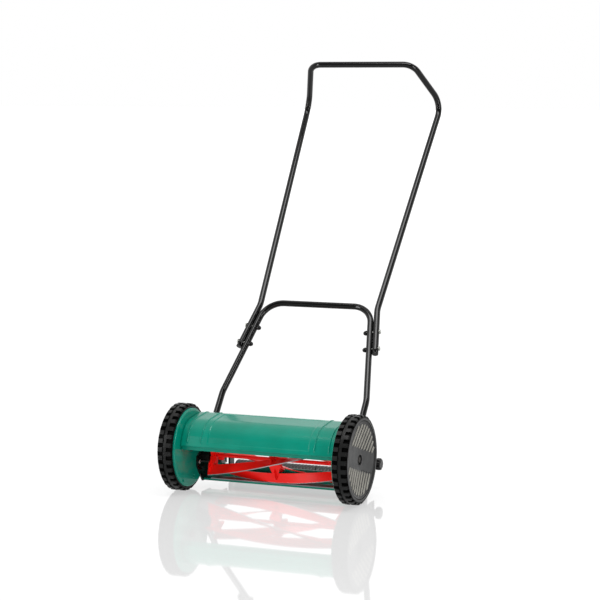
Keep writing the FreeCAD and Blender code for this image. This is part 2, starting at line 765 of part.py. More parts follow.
def make_cover():
    """Sheet bent round the reel: rear hem, crest, front bend, step and lip."""
    corners = [
        (sizes.cover_rear_y, places.cover_crest_z - sizes.cover_rear_drop - sizes.cover_hem, 0),
        (sizes.cover_rear_y, places.cover_crest_z - sizes.cover_rear_drop, sizes.cover_small_bend),
        (sizes.cover_crest_y, places.cover_crest_z, 30),
        (sizes.cover_corner_y, places.cover_corner_z, sizes.cover_front_bend),
        (sizes.cover_front_y, places.cover_front_z, sizes.cover_small_bend),
        (sizes.cover_front_y + sizes.cover_lip_step, places.cover_front_z - 2, sizes.cover_small_bend / 2),
        (sizes.cover_front_y + sizes.cover_lip_step + 0.5,
         places.cover_front_z - sizes.cover_lip_drop, 0),
    ]
    half = places.plate_inner_x
    path = rounded_path([FreeCAD.Vector(-half, y, z) for y, z, _ in corners],
                        [bend for _, _, bend in corners])
    face = strip_face(path, sizes.cover_sheet)
    return solid_feature("reel_cover", face.extrude(FreeCAD.Vector(2 * half, 0, 0)))


def rounded_path(points, bends):
    """Straight runs through points, joined at each inner point by an arc of its bend radius."""
    edges = []
    start = points[0]
    for index in range(1, len(points) - 1):
        corner = points[index]
        back = (points[index - 1] - corner).normalize()
        ahead = (points[index + 1] - corner).normalize()
        half_angle = back.getAngle(ahead) / 2
        reach = bends[index] / math.tan(half_angle)
        middle = (back + ahead).normalize() * (bends[index] / math.sin(half_angle) - bends[index])
        entry = corner + back * reach
        leave = corner + ahead * reach
        if (entry - start).Length > 1e-4:
            edges.append(Part.makeLine(start, entry))
        edges.append(Part.Arc(entry, corner + middle, leave).toShape())
        start = leave
    edges.append(Part.makeLine(start, points[-1]))
    return Part.Wire(edges)


def strip_face(path, thickness):
    """A path in the YZ plane given a thickness on its inner side, as a face."""
    twin = path.makeOffset2D(-thickness, 0, False, True)
    ends = []
    for place in (0, -1):
        ends.append(Part.makeLine(path.OrderedVertexes[place].Point, nearest_end(twin, path, place)))
    return Part.Face(Part.Wire(Part.__sortEdges__(path.Edges + twin.Edges + ends)))


def nearest_end(twin, path, place):
    corner = path.OrderedVertexes[place].Point
    ends = (twin.OrderedVertexes[0].Point, twin.OrderedVertexes[-1].Point)
    return min(ends, key=lambda point: (point - corner).Length)


def make_frame():
    pair("side_plate", make_side_plate())
    pair("rear_bracket", make_bracket())
    screws = make_bed_screws()
    group("bed_screws", screws)
    for name, base in (("bed_bar", make_bed_bar()), ("bed_knife", make_bed_knife())):
        pierced(name, base, nodes["bed_screws"])
    keep("reel_cover", make_cover())
    pair("bearing_housing", turned("bearing_housing", [
        ("shield_inner_x", "shaft_radius + 2"),
        ("shield_inner_x", "shield_radius - 3"),
        ("shield_inner_x + 1.5", "shield_radius"),
        ("shield_inner_x + shield_thickness", "shield_radius"),
        ("shield_inner_x + shield_thickness", "neck_radius"),
        ("plate_outer_x", "neck_radius"),
        ("plate_outer_x", "bearing_radius"),
        ("plate_outer_x - bearing_width", "bearing_radius"),
        ("plate_outer_x - bearing_width", "shaft_radius + 2"),
    ], "reel_y", "reel_z"))
    pair("reel_bearing", turned("reel_bearing", [
        ("plate_outer_x - bearing_width", "shaft_radius + running_gap"),
        ("plate_outer_x", "shaft_radius + running_gap"),
        ("plate_outer_x", "bearing_radius"),
        ("plate_outer_x - bearing_width", "bearing_radius"),
    ], "reel_y", "reel_z"))
    small_pair("bracket_bolts", headed_pin("bracket_bolt", "arm_inner_x",
                                           "arm_thickness + plate_thickness", "bed_screw_radius",
                                           "5.5", "bracket_bolt_y", "bracket_bolt_z", "4"))
    small_pair("handle_pivot_bolts", headed_pin("pivot_bolt", "handle_foot_x - tube_radius - 0.3",
                                  "plate_outer_x - handle_foot_x + tube_radius + 0.3",
                                  "pivot_bolt_radius", "7", "pivot_y", "pivot_z", "4"))


# ---------------------------------------------------------------- reel

def make_blade(number):
    """Helical strip: a slanted rectangle lofted through sections that turn along the reel."""
    body = new_body("reel_blade_%d" % number, "reel_y", "reel_z")
    sections = []
    steps = 6
    land = "blade_thickness * (180 / pi) / reel_radius"
    deep = "(reel_radius - blade_width * cos(blade_tilt))"
    low = "(-blade_width * sin(blade_tilt))"
    for step in range(steps + 1):
        sketch = outline(body, "YZ_Plane", [
            ("reel_radius", "0"),
            (deep, low),
            ("%s - reel_radius * (1 - cos(%s))" % (deep, land), "%s - blade_thickness" % low),
            ("reel_radius * cos(%s)" % land, "-reel_radius * sin(%s)" % land),
        ], "-reel_half + reel_length * %d / %d" % (step, steps))
        bind(sketch, "AttachmentOffset.Rotation.Angle",
             "blade_start_angle - blade_twist * %d / %d + 360 * %d / blade_count" % (step, steps, number))
        sections.append(sketch)
    loft = body.newObject("PartDesign::AdditiveLoft", "loft")
    loft.Profile = sections[0]
    loft.Sections = sections[1:]
    doc.recompute()
    return body


def folded_web(body, at_x, share, reaches):
    """Tapered web behind one blade, wide at the hub and narrow at the cutting edge.

    `reaches` gives its sections as distances from the star, each with the place of its outer end.
    """
    sections = []
    for reach, outer in reaches:
        corners = []
        for along, behind in ((outer, "0.6"), ("blade_width + 22", "0.6"),
                              ("blade_width + 22", "0.6 + web_sheet"), (outer, "0.6 + web_sheet")):
            corners.append(("reel_radius - (%s) * cos(blade_tilt)" % along,
                            "-(%s) * sin(blade_tilt) - blade_thickness - (%s)" % (along, behind)))
        sketch = outline(body, "YZ_Plane", corners, "%s + (%s)" % (at_x, reach))
        bind(sketch, "AttachmentOffset.Rotation.Angle",
             "blade_start_angle - blade_twist * (%s + (%s) / reel_length)" % (share, reach))
        sections.append(sketch)
    loft = body.newObject("PartDesign::AdditiveLoft", "web")
    loft.Profile = sections[0]
    loft.Sections = sections[1:]
    loft.Ruled = True
    doc.recompute()
    return loft


def make_spider(name, at_x, share, reaches):
    """Pressed star on a hub: each arm backs the trailing face of one blade."""
    body = new_body(name, "reel_y", "reel_z")
    hub = pad(body, circles(body, "YZ_Plane", [("0", "0")], "spider_hub_radius",
                            "%s - spider_hub_length / 2" % at_x), "spider_hub_length")
    half = "blade_thickness / 2"
    inner = "reel_radius - blade_width * cos(blade_tilt)"
    profile = outline(body, "YZ_Plane", [
        ("spider_hub_radius * 1.07", "-spider_hub_radius * 1.11"),
        (inner, "-blade_width * sin(blade_tilt) - 14"),
        ("reel_radius - 12", "-16"),
        ("reel_radius - 7", "-9"),
        ("reel_radius - 6", "-6 * tan(blade_tilt) - (%s)" % half),
        (inner, "-blade_width * sin(blade_tilt) - (%s)" % half),
        ("spider_hub_radius * 1.38", "spider_hub_radius * 0.68"),
        ("0", "0"),
    ], "%s - spider_thickness / 2" % at_x)
    bind(profile, "AttachmentOffset.Rotation.Angle", "blade_start_angle - blade_twist * %s" % share)
    arm = pad(body, profile, "spider_thickness")
    around(body, [arm, folded_web(body, at_x, share, reaches)], "blade_count")
    cut(body, circles(body, "YZ_Plane", [("0", "0")], "shaft_radius",
                      "%s - spider_hub_length" % at_x), "2 * spider_hub_length")
    return body


def make_reel():
    blades = []
    for number in range(int(sizes.blade_count)):
        blades.append(keep("reel_blade_%d" % (number + 1), make_blade(number)))
    all_blades = doc.addObject("Part::Compound", "all_blades")
    all_blades.Links = blades
    inset = "reel_half - spider_end_inset"
    edge = "spider_thickness / 2"
    tip = (edge, "8")
    back_tip = ("-" + edge, "8")
    wide = ("web_half_width", "blade_width + 16")
    back_wide = ("-web_half_width", "blade_width + 16")
    for name, at_x, share, reaches in (
        ("right", "-(%s)" % inset, "spider_end_inset / reel_length", (back_tip, tip, wide)),
        ("centre", "0", "0.5", (back_wide, back_tip, tip, wide)),
        ("left", "(%s)" % inset, "(1 - spider_end_inset / reel_length)", (back_wide, back_tip, tip)),
    ):
        star = make_spider("spider_" + name, at_x, share, reaches)
        pierced("reel_spider_" + name, star, all_blades)
    pair("pinion", make_pinion())
    pawls = small_pair("pinion_pawls", make_pawl())
    tip = "gear_outer_x + clip_thickness + 1.5"
    groove = "shaft_radius - 0.8"
    shaft = turned("reel_shaft_blank", [
        ("-(%s)" % tip, "0"), (tip, "0"), (tip, "shaft_radius"),
        ("gear_outer_x + clip_thickness", "shaft_radius"),
        ("gear_outer_x + clip_thickness", groove), ("gear_outer_x", groove),
        ("gear_outer_x", "shaft_radius"), ("-gear_outer_x", "shaft_radius"),
        ("-gear_outer_x", groove), ("-(gear_outer_x + clip_thickness)", groove),
        ("-(gear_outer_x + clip_thickness)", "shaft_radius"), ("-(%s)" % tip, "shaft_radius"),
    ], "reel_y", "reel_z")
    pierced("reel_shaft", shaft, pawls)
    small_pair("pinion_clips", turned("pinion_clip", [
        ("gear_outer_x", groove), ("gear_outer_x + clip_thickness", groove),
        ("gear_outer_x + clip_thickness", "shaft_radius + 2.5"), ("gear_outer_x", "shaft_radius + 2.5"),
    ], "reel_y", "reel_z"))


# ---------------------------------------------------------------- roller and height adjusters

def make_roller_segment(number):
    """One hollow roller on the axle, ribbed round its outside."""
    pitch = "roller_length / roller_segments"
    start = "-roller_length / 2 + (%s) * %d + roller_segment_gap / 2" % (pitch, number)
    end = "-roller_length / 2 + (%s) * %d - roller_segment_gap / 2" % (pitch, number + 1)
    bore = "roller_axle_radius + running_gap"
    inner = "roller_radius - roller_wall"
    return turned("roller_%d" % (number + 1), [
        (start, bore), (start + " + 4", bore), (start + " + 4", bore + " + 0.25"),
        (end + " - 4", bore + " + 0.25"), (end + " - 4", bore), (end, bore),
        (end, "roller_axle_radius + 4"), (end + " - 4", "roller_axle_radius + 4"),
        (end + " - 4", inner), (end, inner),
        (end, "roller_radius - 1"), (end + " - 1", "roller_radius"),
        (start + " + 1", "roller_radius"), (start, "roller_radius - 1"),
        (start, inner), (start + " + 4", inner),
        (start + " + 4", "roller_axle_radius + 4"), (start, "roller_axle_radius + 4"),
    ], "roller_y", "roller_radius")


def make_holder():
    """Upright plate with the roller axle's eye below and the clamp boss above."""
    body = plate("roller_holder", [
        ("roller_y - holder_half_width + 5", "holder_foot_z"),
        ("roller_y + holder_half_width - 5", "holder_foot_z"),
        ("roller_y + holder_half_width", "holder_foot_z + 6"),
        ("roller_y + holder_half_width", "height_bolt_z + boss_radius - 5"),
        ("roller_y + holder_half_width - 5", "height_bolt_z + boss_radius"),
        ("roller_y - holder_half_width + 5", "height_bolt_z + boss_radius"),
        ("roller_y - holder_half_width", "height_bolt_z + boss_radius - 5"),
        ("roller_y - holder_half_width", "holder_foot_z + 6"),
    ], "holder_outer_x - holder_thickness", "holder_thickness")
    pad(body, circles(body, "YZ_Plane", [("roller_y", "height_bolt_z")], "boss_radius",
                      "holder_outer_x - 1"), "arm_inner_x - holder_outer_x + 1 - moving_gap")
    cut(body, circles(body, "YZ_Plane", [("roller_y", "height_bolt_z")], "height_bolt_radius",
                      "holder_outer_x - holder_thickness - 1"), "40")
    cut(body, circles(body, "YZ_Plane", [("roller_y", "roller_radius")], "roller_axle_radius",
                      "holder_outer_x - holder_thickness - 1"), "holder_thickness + 2")
    return body


def make_knob():
    """Round-lobed hand nut: a stem against the bracket and a lobed head outside it."""
    body = turned("height_knob", [
        ("plate_inner_x + moving_gap", "height_bolt_radius + running_gap"),
        ("knob_outer_x - 3", "height_bolt_radius + running_gap"),
        ("knob_outer_x - 3", "0"),
        ("knob_outer_x", "0"),
        ("knob_outer_x", "knob_radius - 3"),
        ("knob_outer_x - 2", "knob_radius - 1"),
        ("knob_inner_x + 2", "knob_radius - 1"),
        ("knob_inner_x", "knob_radius - 3"),
        ("knob_inner_x", "knob_stem_radius"),
        ("plate_inner_x + moving_gap", "knob_stem_radius"),
    ], "roller_y", "height_bolt_z")
    lobe = pad(body, circles(body, "YZ_Plane", [("0", "knob_radius - knob_lobe_radius")],
                             "knob_lobe_radius", "knob_inner_x + 2"),
               "knob_outer_x - knob_inner_x - 4")
    around(body, [lobe], "knob_lobes")
    return body


def make_roller_unit():
    for number in range(int(sizes.roller_segments)):
        keep("roller_%d" % (number + 1), make_roller_segment(number))
    tip = "holder_outer_x + 3"
    keep("roller_axle", turned("roller_axle", [
        ("-(%s)" % tip, "0"), (tip, "0"), (tip, "roller_axle_radius"), ("-(%s)" % tip, "roller_axle_radius"),
    ], "roller_y", "roller_radius"))
    pair("roller_holder", make_holder())
    pair("height_knob", make_knob())
    inner = "holder_outer_x - holder_thickness"
    pair("height_bolt", turned("height_bolt", [
        (inner + " - 3", "0"), ("knob_outer_x - 4", "0"), ("knob_outer_x - 4", "height_bolt_radius"),
        (inner, "height_bolt_radius"), (inner, "height_bolt_radius + 4"),
        (inner + " - 2", "height_bolt_radius + 4"), (inner + " - 3", "height_bolt_radius + 1"),
    ], "roller_y", "height_bolt_z"))


# ---------------------------------------------------------------- handle

def on_handle(across, along):
    """A point in the plane of the handle's legs, `along` measured up from the pivot."""
    tilt = math.radians(sizes.handle_tilt)
    return FreeCAD.Vector(across, sizes.pivot_y + along * math.sin(tilt),
                          places.pivot_z + along * math.cos(tilt))


def leg_lean():
    """Inward slope of the legs above the knee, and the unit step across them."""
    run = sizes.crossbar_rise - sizes.handle_knee
    slope = (places.crossbar_corner_x - places.handle_foot_x) / run
    return slope, math.hypot(1, slope)


def upper_leg_x(along):
    """Centre of the upper tube's leg, which lies beside the lower tube's leg."""
    slope, stretch = leg_lean()
    beside = (2 * sizes.tube_radius + sizes.tube_pair_gap) * stretch
    return places.handle_foot_x + slope * (along - sizes.handle_knee) + beside


def tube(points, bends):
    """A bent round tube along both sides of a path that is given for its left half."""
    other_half = [FreeCAD.Vector(-point.x, point.y, point.z) for point in reversed(points)]
    path = rounded_path(points + other_half, bends + list(reversed(bends)))
    solids = []
    for radius in (sizes.tube_radius, sizes.tube_radius - sizes.tube_wall):
        start = points[0]
        ahead = (points[1] - points[0]).normalize()
        section = Part.Wire(Part.makeCircle(radius, start, ahead))
        solids.append(path.makePipeShell([section], True, False))
    return solids[0].cut(solids[1])


def across_legs(along, half_length, radius):
    """A rod square to the pair of tubes, at a height along the handle, on the left side."""
    slope, stretch = leg_lean()
    beside = (sizes.tube_radius + sizes.tube_pair_gap / 2) * stretch
    middle_x = places.handle_foot_x + slope * (along - sizes.handle_knee) + beside
    tilt = math.radians(sizes.handle_tilt)
    up = FreeCAD.Vector(0, math.sin(tilt), math.cos(tilt))
    square = (FreeCAD.Vector(1, 0, 0) - up * slope).normalize()
    middle = on_handle(middle_x, along)
    rod = Part.makeCylinder(radius, 2 * half_length, middle - square * half_length, square)
    return rod, middle, square


def both_sides(shapes):
    """Shapes on the left together with their mirror images."""
    twins = [shape.mirror(FreeCAD.Vector(0, 0, 0), FreeCAD.Vector(1, 0, 0)) for shape in shapes]
    return shapes + twins


def joint_heights():
    return sizes.joint_bolt_low, sizes.joint_bolt_high


def bolt_holes():
    """Rods through both tubes where the joint bolts go."""
    radius = sizes.joint_bolt_radius + sizes.bolt_hole_gap
    return both_sides([across_legs(along, 3 * sizes.tube_radius, radius)[0] for along in joint_heights()])


def make_lower_handle():
    points = [
        on_handle(places.handle_foot_x, -sizes.handle_tail),
        on_handle(places.handle_foot_x, sizes.handle_knee),
        on_handle(places.crossbar_corner_x, sizes.crossbar_rise),
    ]
    shape = tube(points, [0, sizes.handle_knee_bend, sizes.crossbar_bend])
    pivot = FreeCAD.Vector(places.handle_foot_x - 2 * sizes.tube_radius, sizes.pivot_y, places.pivot_z)
    eye = Part.makeCylinder(sizes.pivot_bolt_radius + 0.1, 4 * sizes.tube_radius, pivot,
                            FreeCAD.Vector(1, 0, 0))
    return solid_feature("lower_handle", shape.cut(bolt_holes() + both_sides([eye])))


def make_upper_handle():
    grip = FreeCAD.Vector(places.grip_corner_x, places.grip_y, places.grip_z)
    points = [
        on_handle(upper_leg_x(sizes.upper_start), sizes.upper_start),
        on_handle(upper_leg_x(sizes.upper_kink), sizes.upper_kink),
        on_handle(places.upper_top_x, sizes.upper_top),
        grip,
    ]
    shape = tube(points, [0, sizes.upper_kink_bend, sizes.upper_top_bend, sizes.grip_bend])
    return solid_feature("upper_handle", shape.cut(bolt_holes()))


def make_joint_bolts():
    """Headed bolts from outside and domed nuts inside, two on each side."""
    bolts = []
    nuts = []
    half = 2 * sizes.tube_radius + sizes.tube_pair_gap / 2
    for along in joint_heights():
        shank, middle, square = across_legs(along, half, sizes.joint_bolt_radius)
        outside = middle + square * half
        inside = middle - square * half
        head = Part.makeCylinder(6, 3, outside, square)
        head = head.fuse(Part.makeCone(6, 4.4, 1.4, outside + square * 3, square))
        thread = Part.makeCylinder(sizes.joint_bolt_radius, 5, inside - square * 5, square)
        bolts.append(shank.fuse([head, thread]).removeSplitter())
        ball = Part.makeSphere(6, inside - square * 4)
        block = Part.makeCylinder(6.6, 4, inside - square * 4, square)
        keep_side = Part.makeCylinder(8, 14, inside, square * -1)
        nut = ball.common(keep_side).fuse(block).cut(thread)
        nuts.append(nut.removeSplitter())
    return Part.makeCompound(both_sides(bolts)), Part.makeCompound(both_sides(nuts))


def make_plugs():
    """Plastic plugs in the open ends of both tubes."""
    plugs = []
    ends = (
        (on_handle(places.handle_foot_x, -sizes.handle_tail), on_handle(places.handle_foot_x, 0)),
        (on_handle(upper_leg_x(sizes.upper_start), sizes.upper_start),
         on_handle(upper_leg_x(sizes.upper_kink), sizes.upper_kink)),
    )
    for end, further in ends:
        inward = (further - end).normalize()
        cap = Part.makeCylinder(sizes.tube_radius, 2.5, end - inward * 2.5, inward)
        stem = Part.makeCylinder(sizes.tube_radius - sizes.tube_wall, 5, end, inward)
        plugs.append(cap.fuse(stem).removeSplitter())
    return Part.makeCompound(both_sides(plugs))


def make_stop_pin():
    """Pin in front of the leg's tail, which the tail meets when the handle leans back."""
    tilt = math.radians(sizes.handle_tilt)
    away = sizes.tube_radius + sizes.stop_pin_radius + 0.5
    tail = on_handle(places.handle_foot_x, -8)
    across_y = tail.y - away * math.cos(tilt)
    up_z = tail.z + away * math.sin(tilt)
    inner = places.handle_foot_x - sizes.tube_radius
    length = places.plate_inner_x - inner
    pin = Part.makeCylinder(sizes.stop_pin_radius, length, FreeCAD.Vector(inner, across_y, up_z),
                            FreeCAD.Vector(1, 0, 0))
    return solid_feature("stop_pin", pin)


def make_handle():
    keep("lower_handle", make_lower_handle())
    keep("upper_handle", make_upper_handle())
    bolts, nuts = make_joint_bolts()
    keep("handle_joint_bolts", solid_feature("handle_joint_bolts", bolts))
    keep("handle_dome_nuts", solid_feature("handle_dome_nuts", nuts))
    keep("tube_end_plugs", solid_feature("tube_end_plugs", make_plugs()))
    small_pair("handle_stop_pins", make_stop_pin())


def check_model():
    """Stop before writing if any object failed or any piece has a broken shape."""
    doc.recompute()
    for item in doc.Objects:
        if "Invalid" in item.State or "Error" in item.State:
            raise RuntimeError("%s failed: %s" % (item.Label, item.State))
    for name, item in nodes.items():
        if item.Shape.isNull() or not item.Shape.isValid() or not item.Shape.Solids:
            raise RuntimeError("%s has no valid solid" % name)


def write_parts():
    os.makedirs("parts", exist_ok=True)
    for name, item in nodes.items():
        item.Shape.exportStep("parts/%s.step" % name)


make_wheels()
make_frame()
make_reel()
make_roller_unit()
make_handle()
check_model()
write_parts()
for name in sorted(nodes):
    shape = nodes[name].Shape
    print("%-24s solids %d  volume %.0f mm3" % (name, len(shape.Solids), shape.Volume))
print(len(nodes), "nodes")
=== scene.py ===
"""Looks of a hand-pushed reel mower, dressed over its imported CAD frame.

Every piece is placed from the boxes of the CAD nodes, in metres, with +X to the operator's
left, -Y the way it mows and +Z up.
"""
import logging
import math
from dataclasses import dataclass
from enum import Enum

import bmesh
import bpy
import numpy as np
from mathutils import Euler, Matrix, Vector


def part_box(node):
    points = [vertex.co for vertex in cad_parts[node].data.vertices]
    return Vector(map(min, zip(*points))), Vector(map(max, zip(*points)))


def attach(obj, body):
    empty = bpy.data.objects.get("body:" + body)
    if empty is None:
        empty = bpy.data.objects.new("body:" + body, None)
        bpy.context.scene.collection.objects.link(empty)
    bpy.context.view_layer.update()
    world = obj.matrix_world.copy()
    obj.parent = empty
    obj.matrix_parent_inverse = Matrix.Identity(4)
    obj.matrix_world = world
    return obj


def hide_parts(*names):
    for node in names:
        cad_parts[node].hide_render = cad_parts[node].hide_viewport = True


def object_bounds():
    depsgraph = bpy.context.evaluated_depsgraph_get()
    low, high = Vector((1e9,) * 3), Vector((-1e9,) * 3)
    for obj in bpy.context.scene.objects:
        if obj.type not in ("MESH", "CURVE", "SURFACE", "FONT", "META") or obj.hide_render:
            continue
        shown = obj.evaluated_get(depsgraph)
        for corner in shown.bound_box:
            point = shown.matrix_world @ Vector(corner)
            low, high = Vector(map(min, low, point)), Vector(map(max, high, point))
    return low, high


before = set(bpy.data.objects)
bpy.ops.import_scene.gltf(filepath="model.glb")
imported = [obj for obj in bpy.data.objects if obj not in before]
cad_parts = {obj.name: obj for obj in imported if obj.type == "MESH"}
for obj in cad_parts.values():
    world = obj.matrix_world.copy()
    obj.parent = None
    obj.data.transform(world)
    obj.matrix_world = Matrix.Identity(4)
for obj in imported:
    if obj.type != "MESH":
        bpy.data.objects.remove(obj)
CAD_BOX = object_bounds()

LOG = logging.getLogger("reel_mower")
MM = 0.001
TURN = 2.0 * math.pi
WELD_GAP = 2e-6
FLAT_DEGREES = 0.6
NODE_CREASE = 32.0
BEVEL_DEGREES = 40.0
COAT_ROUGHNESS = 0.06
DUST_COLOUR = "#b9b3a6"
DUST_SCALE = 260.0


class Side(Enum):
    """Which side of the mower a piece is on; the value is the sign of its X."""

    LEFT = 1
    RIGHT = -1

    @property
    def word(self) -> str:
        """Name used in front of CAD nodes on this side."""
        return self.name.lower()


# ------------------------------------------------------------------ mesh building


def ring_faces(rows: int, columns: int, close_rows: bool, close_columns: bool) -> np.ndarray:
    """Quads over a grid of points stored row by row.

    Args:
        rows: Number of rows in the grid.
        columns: Number of points in each row.
        close_rows: Whether the last row joins the first.
        close_columns: Whether the last point of a row joins its first.

    Returns:
        An array of four point numbers per quad, wound along the row and then to the next one.
    """
    row = np.arange(rows if close_rows else rows - 1)
    column = np.arange(columns if close_columns else columns - 1)
    row, column = np.meshgrid(row, column, indexing="ij")
    row_next = (row + 1) % rows
    column_next = (column + 1) % columns
    corners = (
        row * columns + column,
        row * columns + column_next,
        row_next * columns + column_next,
        row_next * columns + column,
    )
    return np.stack(corners, axis=-1).reshape(-1, 4)


def capped_faces(rings: int, sides: int) -> list:
    """Faces of a bar made of rings of points, with one flat face on each end."""
    faces = ring_faces(rings, sides, False, True).tolist()
    faces.append(list(range(sides)))
    faces.append(list(range((rings - 1) * sides, rings * sides)))
    return faces


def smooth_step(values: np.ndarray, low: float, high: float) -> np.ndarray:
    """Cubic ramp from 0 at low to 1 at high, level outside."""
    share = np.clip((values - low) / (high - low), 0.0, 1.0)
    return share * share * (3.0 - 2.0 * share)


def build_mesh(name: str, points: np.ndarray, faces: list,
               crease: float = 35.0) -> bpy.types.Object:
    """Makes an object from points and faces, shaded smooth except over sharp folds.

    Args:
        name: Name of the object and its mesh.
        points: Point places in metres, one row of three numbers each.
        faces: Point numbers of every face.
        crease: Fold in degrees from which an edge is drawn sharp.

    Returns:
        The linked object, with its normals pointing outwards.
    """
    mesh = bpy.data.meshes.new(name)
    mesh.from_pydata(points.reshape(-1, 3).tolist(), [], faces)
    shape = bmesh.new()
    shape.from_mesh(mesh)
    bmesh.ops.remove_doubles(shape, verts=shape.verts, dist=1e-6)
    bmesh.ops.recalc_face_normals(shape, faces=shape.faces)
    shape.to_mesh(mesh)
    shape.free()
    return finish_mesh(name, mesh, crease)


def finish_mesh(name: str, mesh: bpy.types.Mesh, crease: float) -> bpy.types.Object:
    """Shades a mesh smooth up to the crease angle and links it as an object."""
    mesh.shade_smooth()
    mesh.set_sharp_from_angle(angle=math.radians(crease))
    made = bpy.data.objects.new(name, mesh)
    bpy.context.scene.collection.objects.link(made)
    return made


def face_towards(made: bpy.types.Object, axis: int, sign: int) -> None:
    """Turns the faces of an open sheet so that they look along an axis on the whole.

    Args:
        made: Open piece.
        axis: 0, 1 or 2 for X, Y or Z.
        sign: 1 to look up the axis, -1 to look down it.
    """
    normals = np.zeros(len(made.data.polygons) * 3)
    made.data.polygons.foreach_get("normal", normals)
    if normals.reshape(-1, 3)[:, axis].sum() * sign < 0:
        made.data.flip_normals()


def mark_points(made: bpy.types.Object, name: str, values: np.ndarray) -> None:
    """Stores one number for each point of a piece, for its material to read."""
    layer = made.data.attributes.new(name, "FLOAT", "POINT")
    layer.data.foreach_set("value", values)


def centre_of(node: str) -> tuple:
    """Y and Z of the middle of a CAD node, which is the axis of a round one."""
    low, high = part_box(node)
    return (low.y + high.y) / 2.0, (low.z + high.z) / 2.0


def radius_of(node: str) -> float:
    """Outer radius of a round CAD node that turns about X."""
    low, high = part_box(node)
    return (high.z - low.z) / 2.0


def reach_of(node: str) -> tuple:
    """Inner and outer distance of a CAD node from the middle of the mower."""
    low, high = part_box(node)
    inner, outer = sorted((abs(low.x), abs(high.x)))
    return inner, outer


def round_axis(along: np.ndarray, radius: np.ndarray, angle: np.ndarray,
               centre: tuple) -> np.ndarray:
    """Points at the given distances along X, radii and angles round an axis.

    Args:
        along: X of each column of points.
        radius: Radius of each point, one row for each angle.
        angle: Angles, as a column.
        centre: Y and Z of the axis.

    Returns:
        Points as rows and columns of X, Y and Z.
    """
    return np.stack([
        np.broadcast_to(along, radius.shape),
        centre[0] + radius * np.cos(angle),
        centre[1] + radius * np.sin(angle),
    ], axis=-1)


def revolve(name: str, profile: np.ndarray, centre: tuple, sign: int, steps: int = 96,
            crease: float = 35.0) -> bpy.types.Object:
    """Turns a closed profile round an axis along X.

    A point (x, r) of the profile goes to (sign * x, centre y + r cos a, centre z + r sin a)
    for every angle a round the axis.

    Args:
        name: Name of the object.
        profile: Closed outline as rows of distance along X and radius, in metres.
        centre: Y and Z of the axis.
        sign: 1 for the left side, -1 for its mirror image.
        steps: Number of angles in a full turn.
        crease: Fold in degrees from which an edge is drawn sharp.

    Returns:
        The linked object.
    """
    angle = np.linspace(0.0, TURN, steps, endpoint=False)[:, None]
    radius = np.broadcast_to(profile[:, 1], (steps, len(profile)))
    points = round_axis(sign * profile[:, 0], radius, angle, centre)
    faces = ring_faces(steps, len(profile), True, True).tolist()
    return build_mesh(name, points, faces, crease)


def rounded_line(points: np.ndarray, bends: list, arc_steps: int = 14) -> np.ndarray:
    """Straight runs through points with an arc of the given radius at each inner one.

    Args:
        points: Corner places, one row each, in any number of dimensions.
        bends: Bend radius at each corner; the first and last are not used.
        arc_steps: Number of points on each arc.

    Returns:
        Points along the rounded line.
    """
    runs = [points[:1]]
    for index in range(1, len(points) - 1):
        corner = points[index]
        back = points[index - 1] - corner
        ahead = points[index + 1] - corner
        back = back / np.linalg.norm(back)
        ahead = ahead / np.linalg.norm(ahead)
        half = math.acos(float(np.clip(back @ ahead, -1.0, 1.0))) / 2.0
        middle = (back + ahead) / np.linalg.norm(back + ahead)
        centre = corner + middle * bends[index] / math.sin(half)
        first = corner + back * bends[index] / math.tan(half) - centre
        side = (ahead - back) / np.linalg.norm(ahead - back)
        swing = np.linspace(-1.0, 1.0, arc_steps)[:, None] * (math.pi / 2.0 - half)
        radius = np.linalg.norm(first)
        runs.append(centre - middle * radius * np.cos(swing) + side * radius * np.sin(swing))
    runs.append(points[-1:])
    return np.concatenate(runs)


def spread_along(line: np.ndarray, step: float) -> np.ndarray:
    """Adds points to a line so that no gap is longer than step, keeping its own points."""
    gaps = np.linalg.norm(np.diff(line, axis=0), axis=1)
    travelled = np.concatenate([[0.0], np.cumsum(gaps)])
    extra = np.linspace(0.0, travelled[-1], max(2, int(travelled[-1] / step)))
    wanted = np.unique(np.round(np.concatenate([travelled, extra]), 7))
    return np.stack([np.interp(wanted, travelled, axis) for axis in line.T], axis=-1)


def sweep_tube(name: str, line: np.ndarray, radius: float, level: np.ndarray,
               sides: int = 28) -> bpy.types.Object:
    """Round bar along a line with slightly rounded closed ends.

    At each point of the line with direction t, the ring is
    radius * (cos a * (level x t) + sin a * (t x (level x t))).

    Args:
        name: Name of the object.
        line: Points along the middle of the bar.
        radius: Outer radius in metres.
        level: A direction that is never along the line, used to keep the rings from twisting.
        sides: Points round each ring.

    Returns:
        The linked object.
    """
    along = np.gradient(line, axis=0)
    along /= np.linalg.norm(along, axis=1, keepdims=True)
    first = np.cross(level, along)
    first /= np.linalg.norm(first, axis=1, keepdims=True)
    second = np.cross(along, first)
    angle = np.linspace(0.0, TURN, sides, endpoint=False)
    ring = (first[:, None] * np.cos(angle)[None, :, None]
            + second[:, None] * np.sin(angle)[None, :, None])
    body = line[:, None] + radius * ring
    round_off = 0.4 * MM
    edge = radius - round_off
    start = line[0] + edge * ring[:1]
    end = line[-1] + edge * ring[-1:]
    body[0] += round_off * along[0]
    body[-1] -= round_off * along[-1]
    points = np.concatenate([start, body, end])
    return build_mesh(name, points, capped_faces(len(points), sides), 50.0)


# ------------------------------------------------------------------ finishes


def linear(code: str) -> tuple:
    """Linear red, green, blue and full alpha from an sRGB hex code."""
    share = np.array([int(code[place:place + 2], 16) for place in (1, 3, 5)]) / 255.0
    straight = np.where(share <= 0.04045, share / 12.92, ((share + 0.055) / 1.055) ** 2.4)
    return (*straight.tolist(), 1.0)


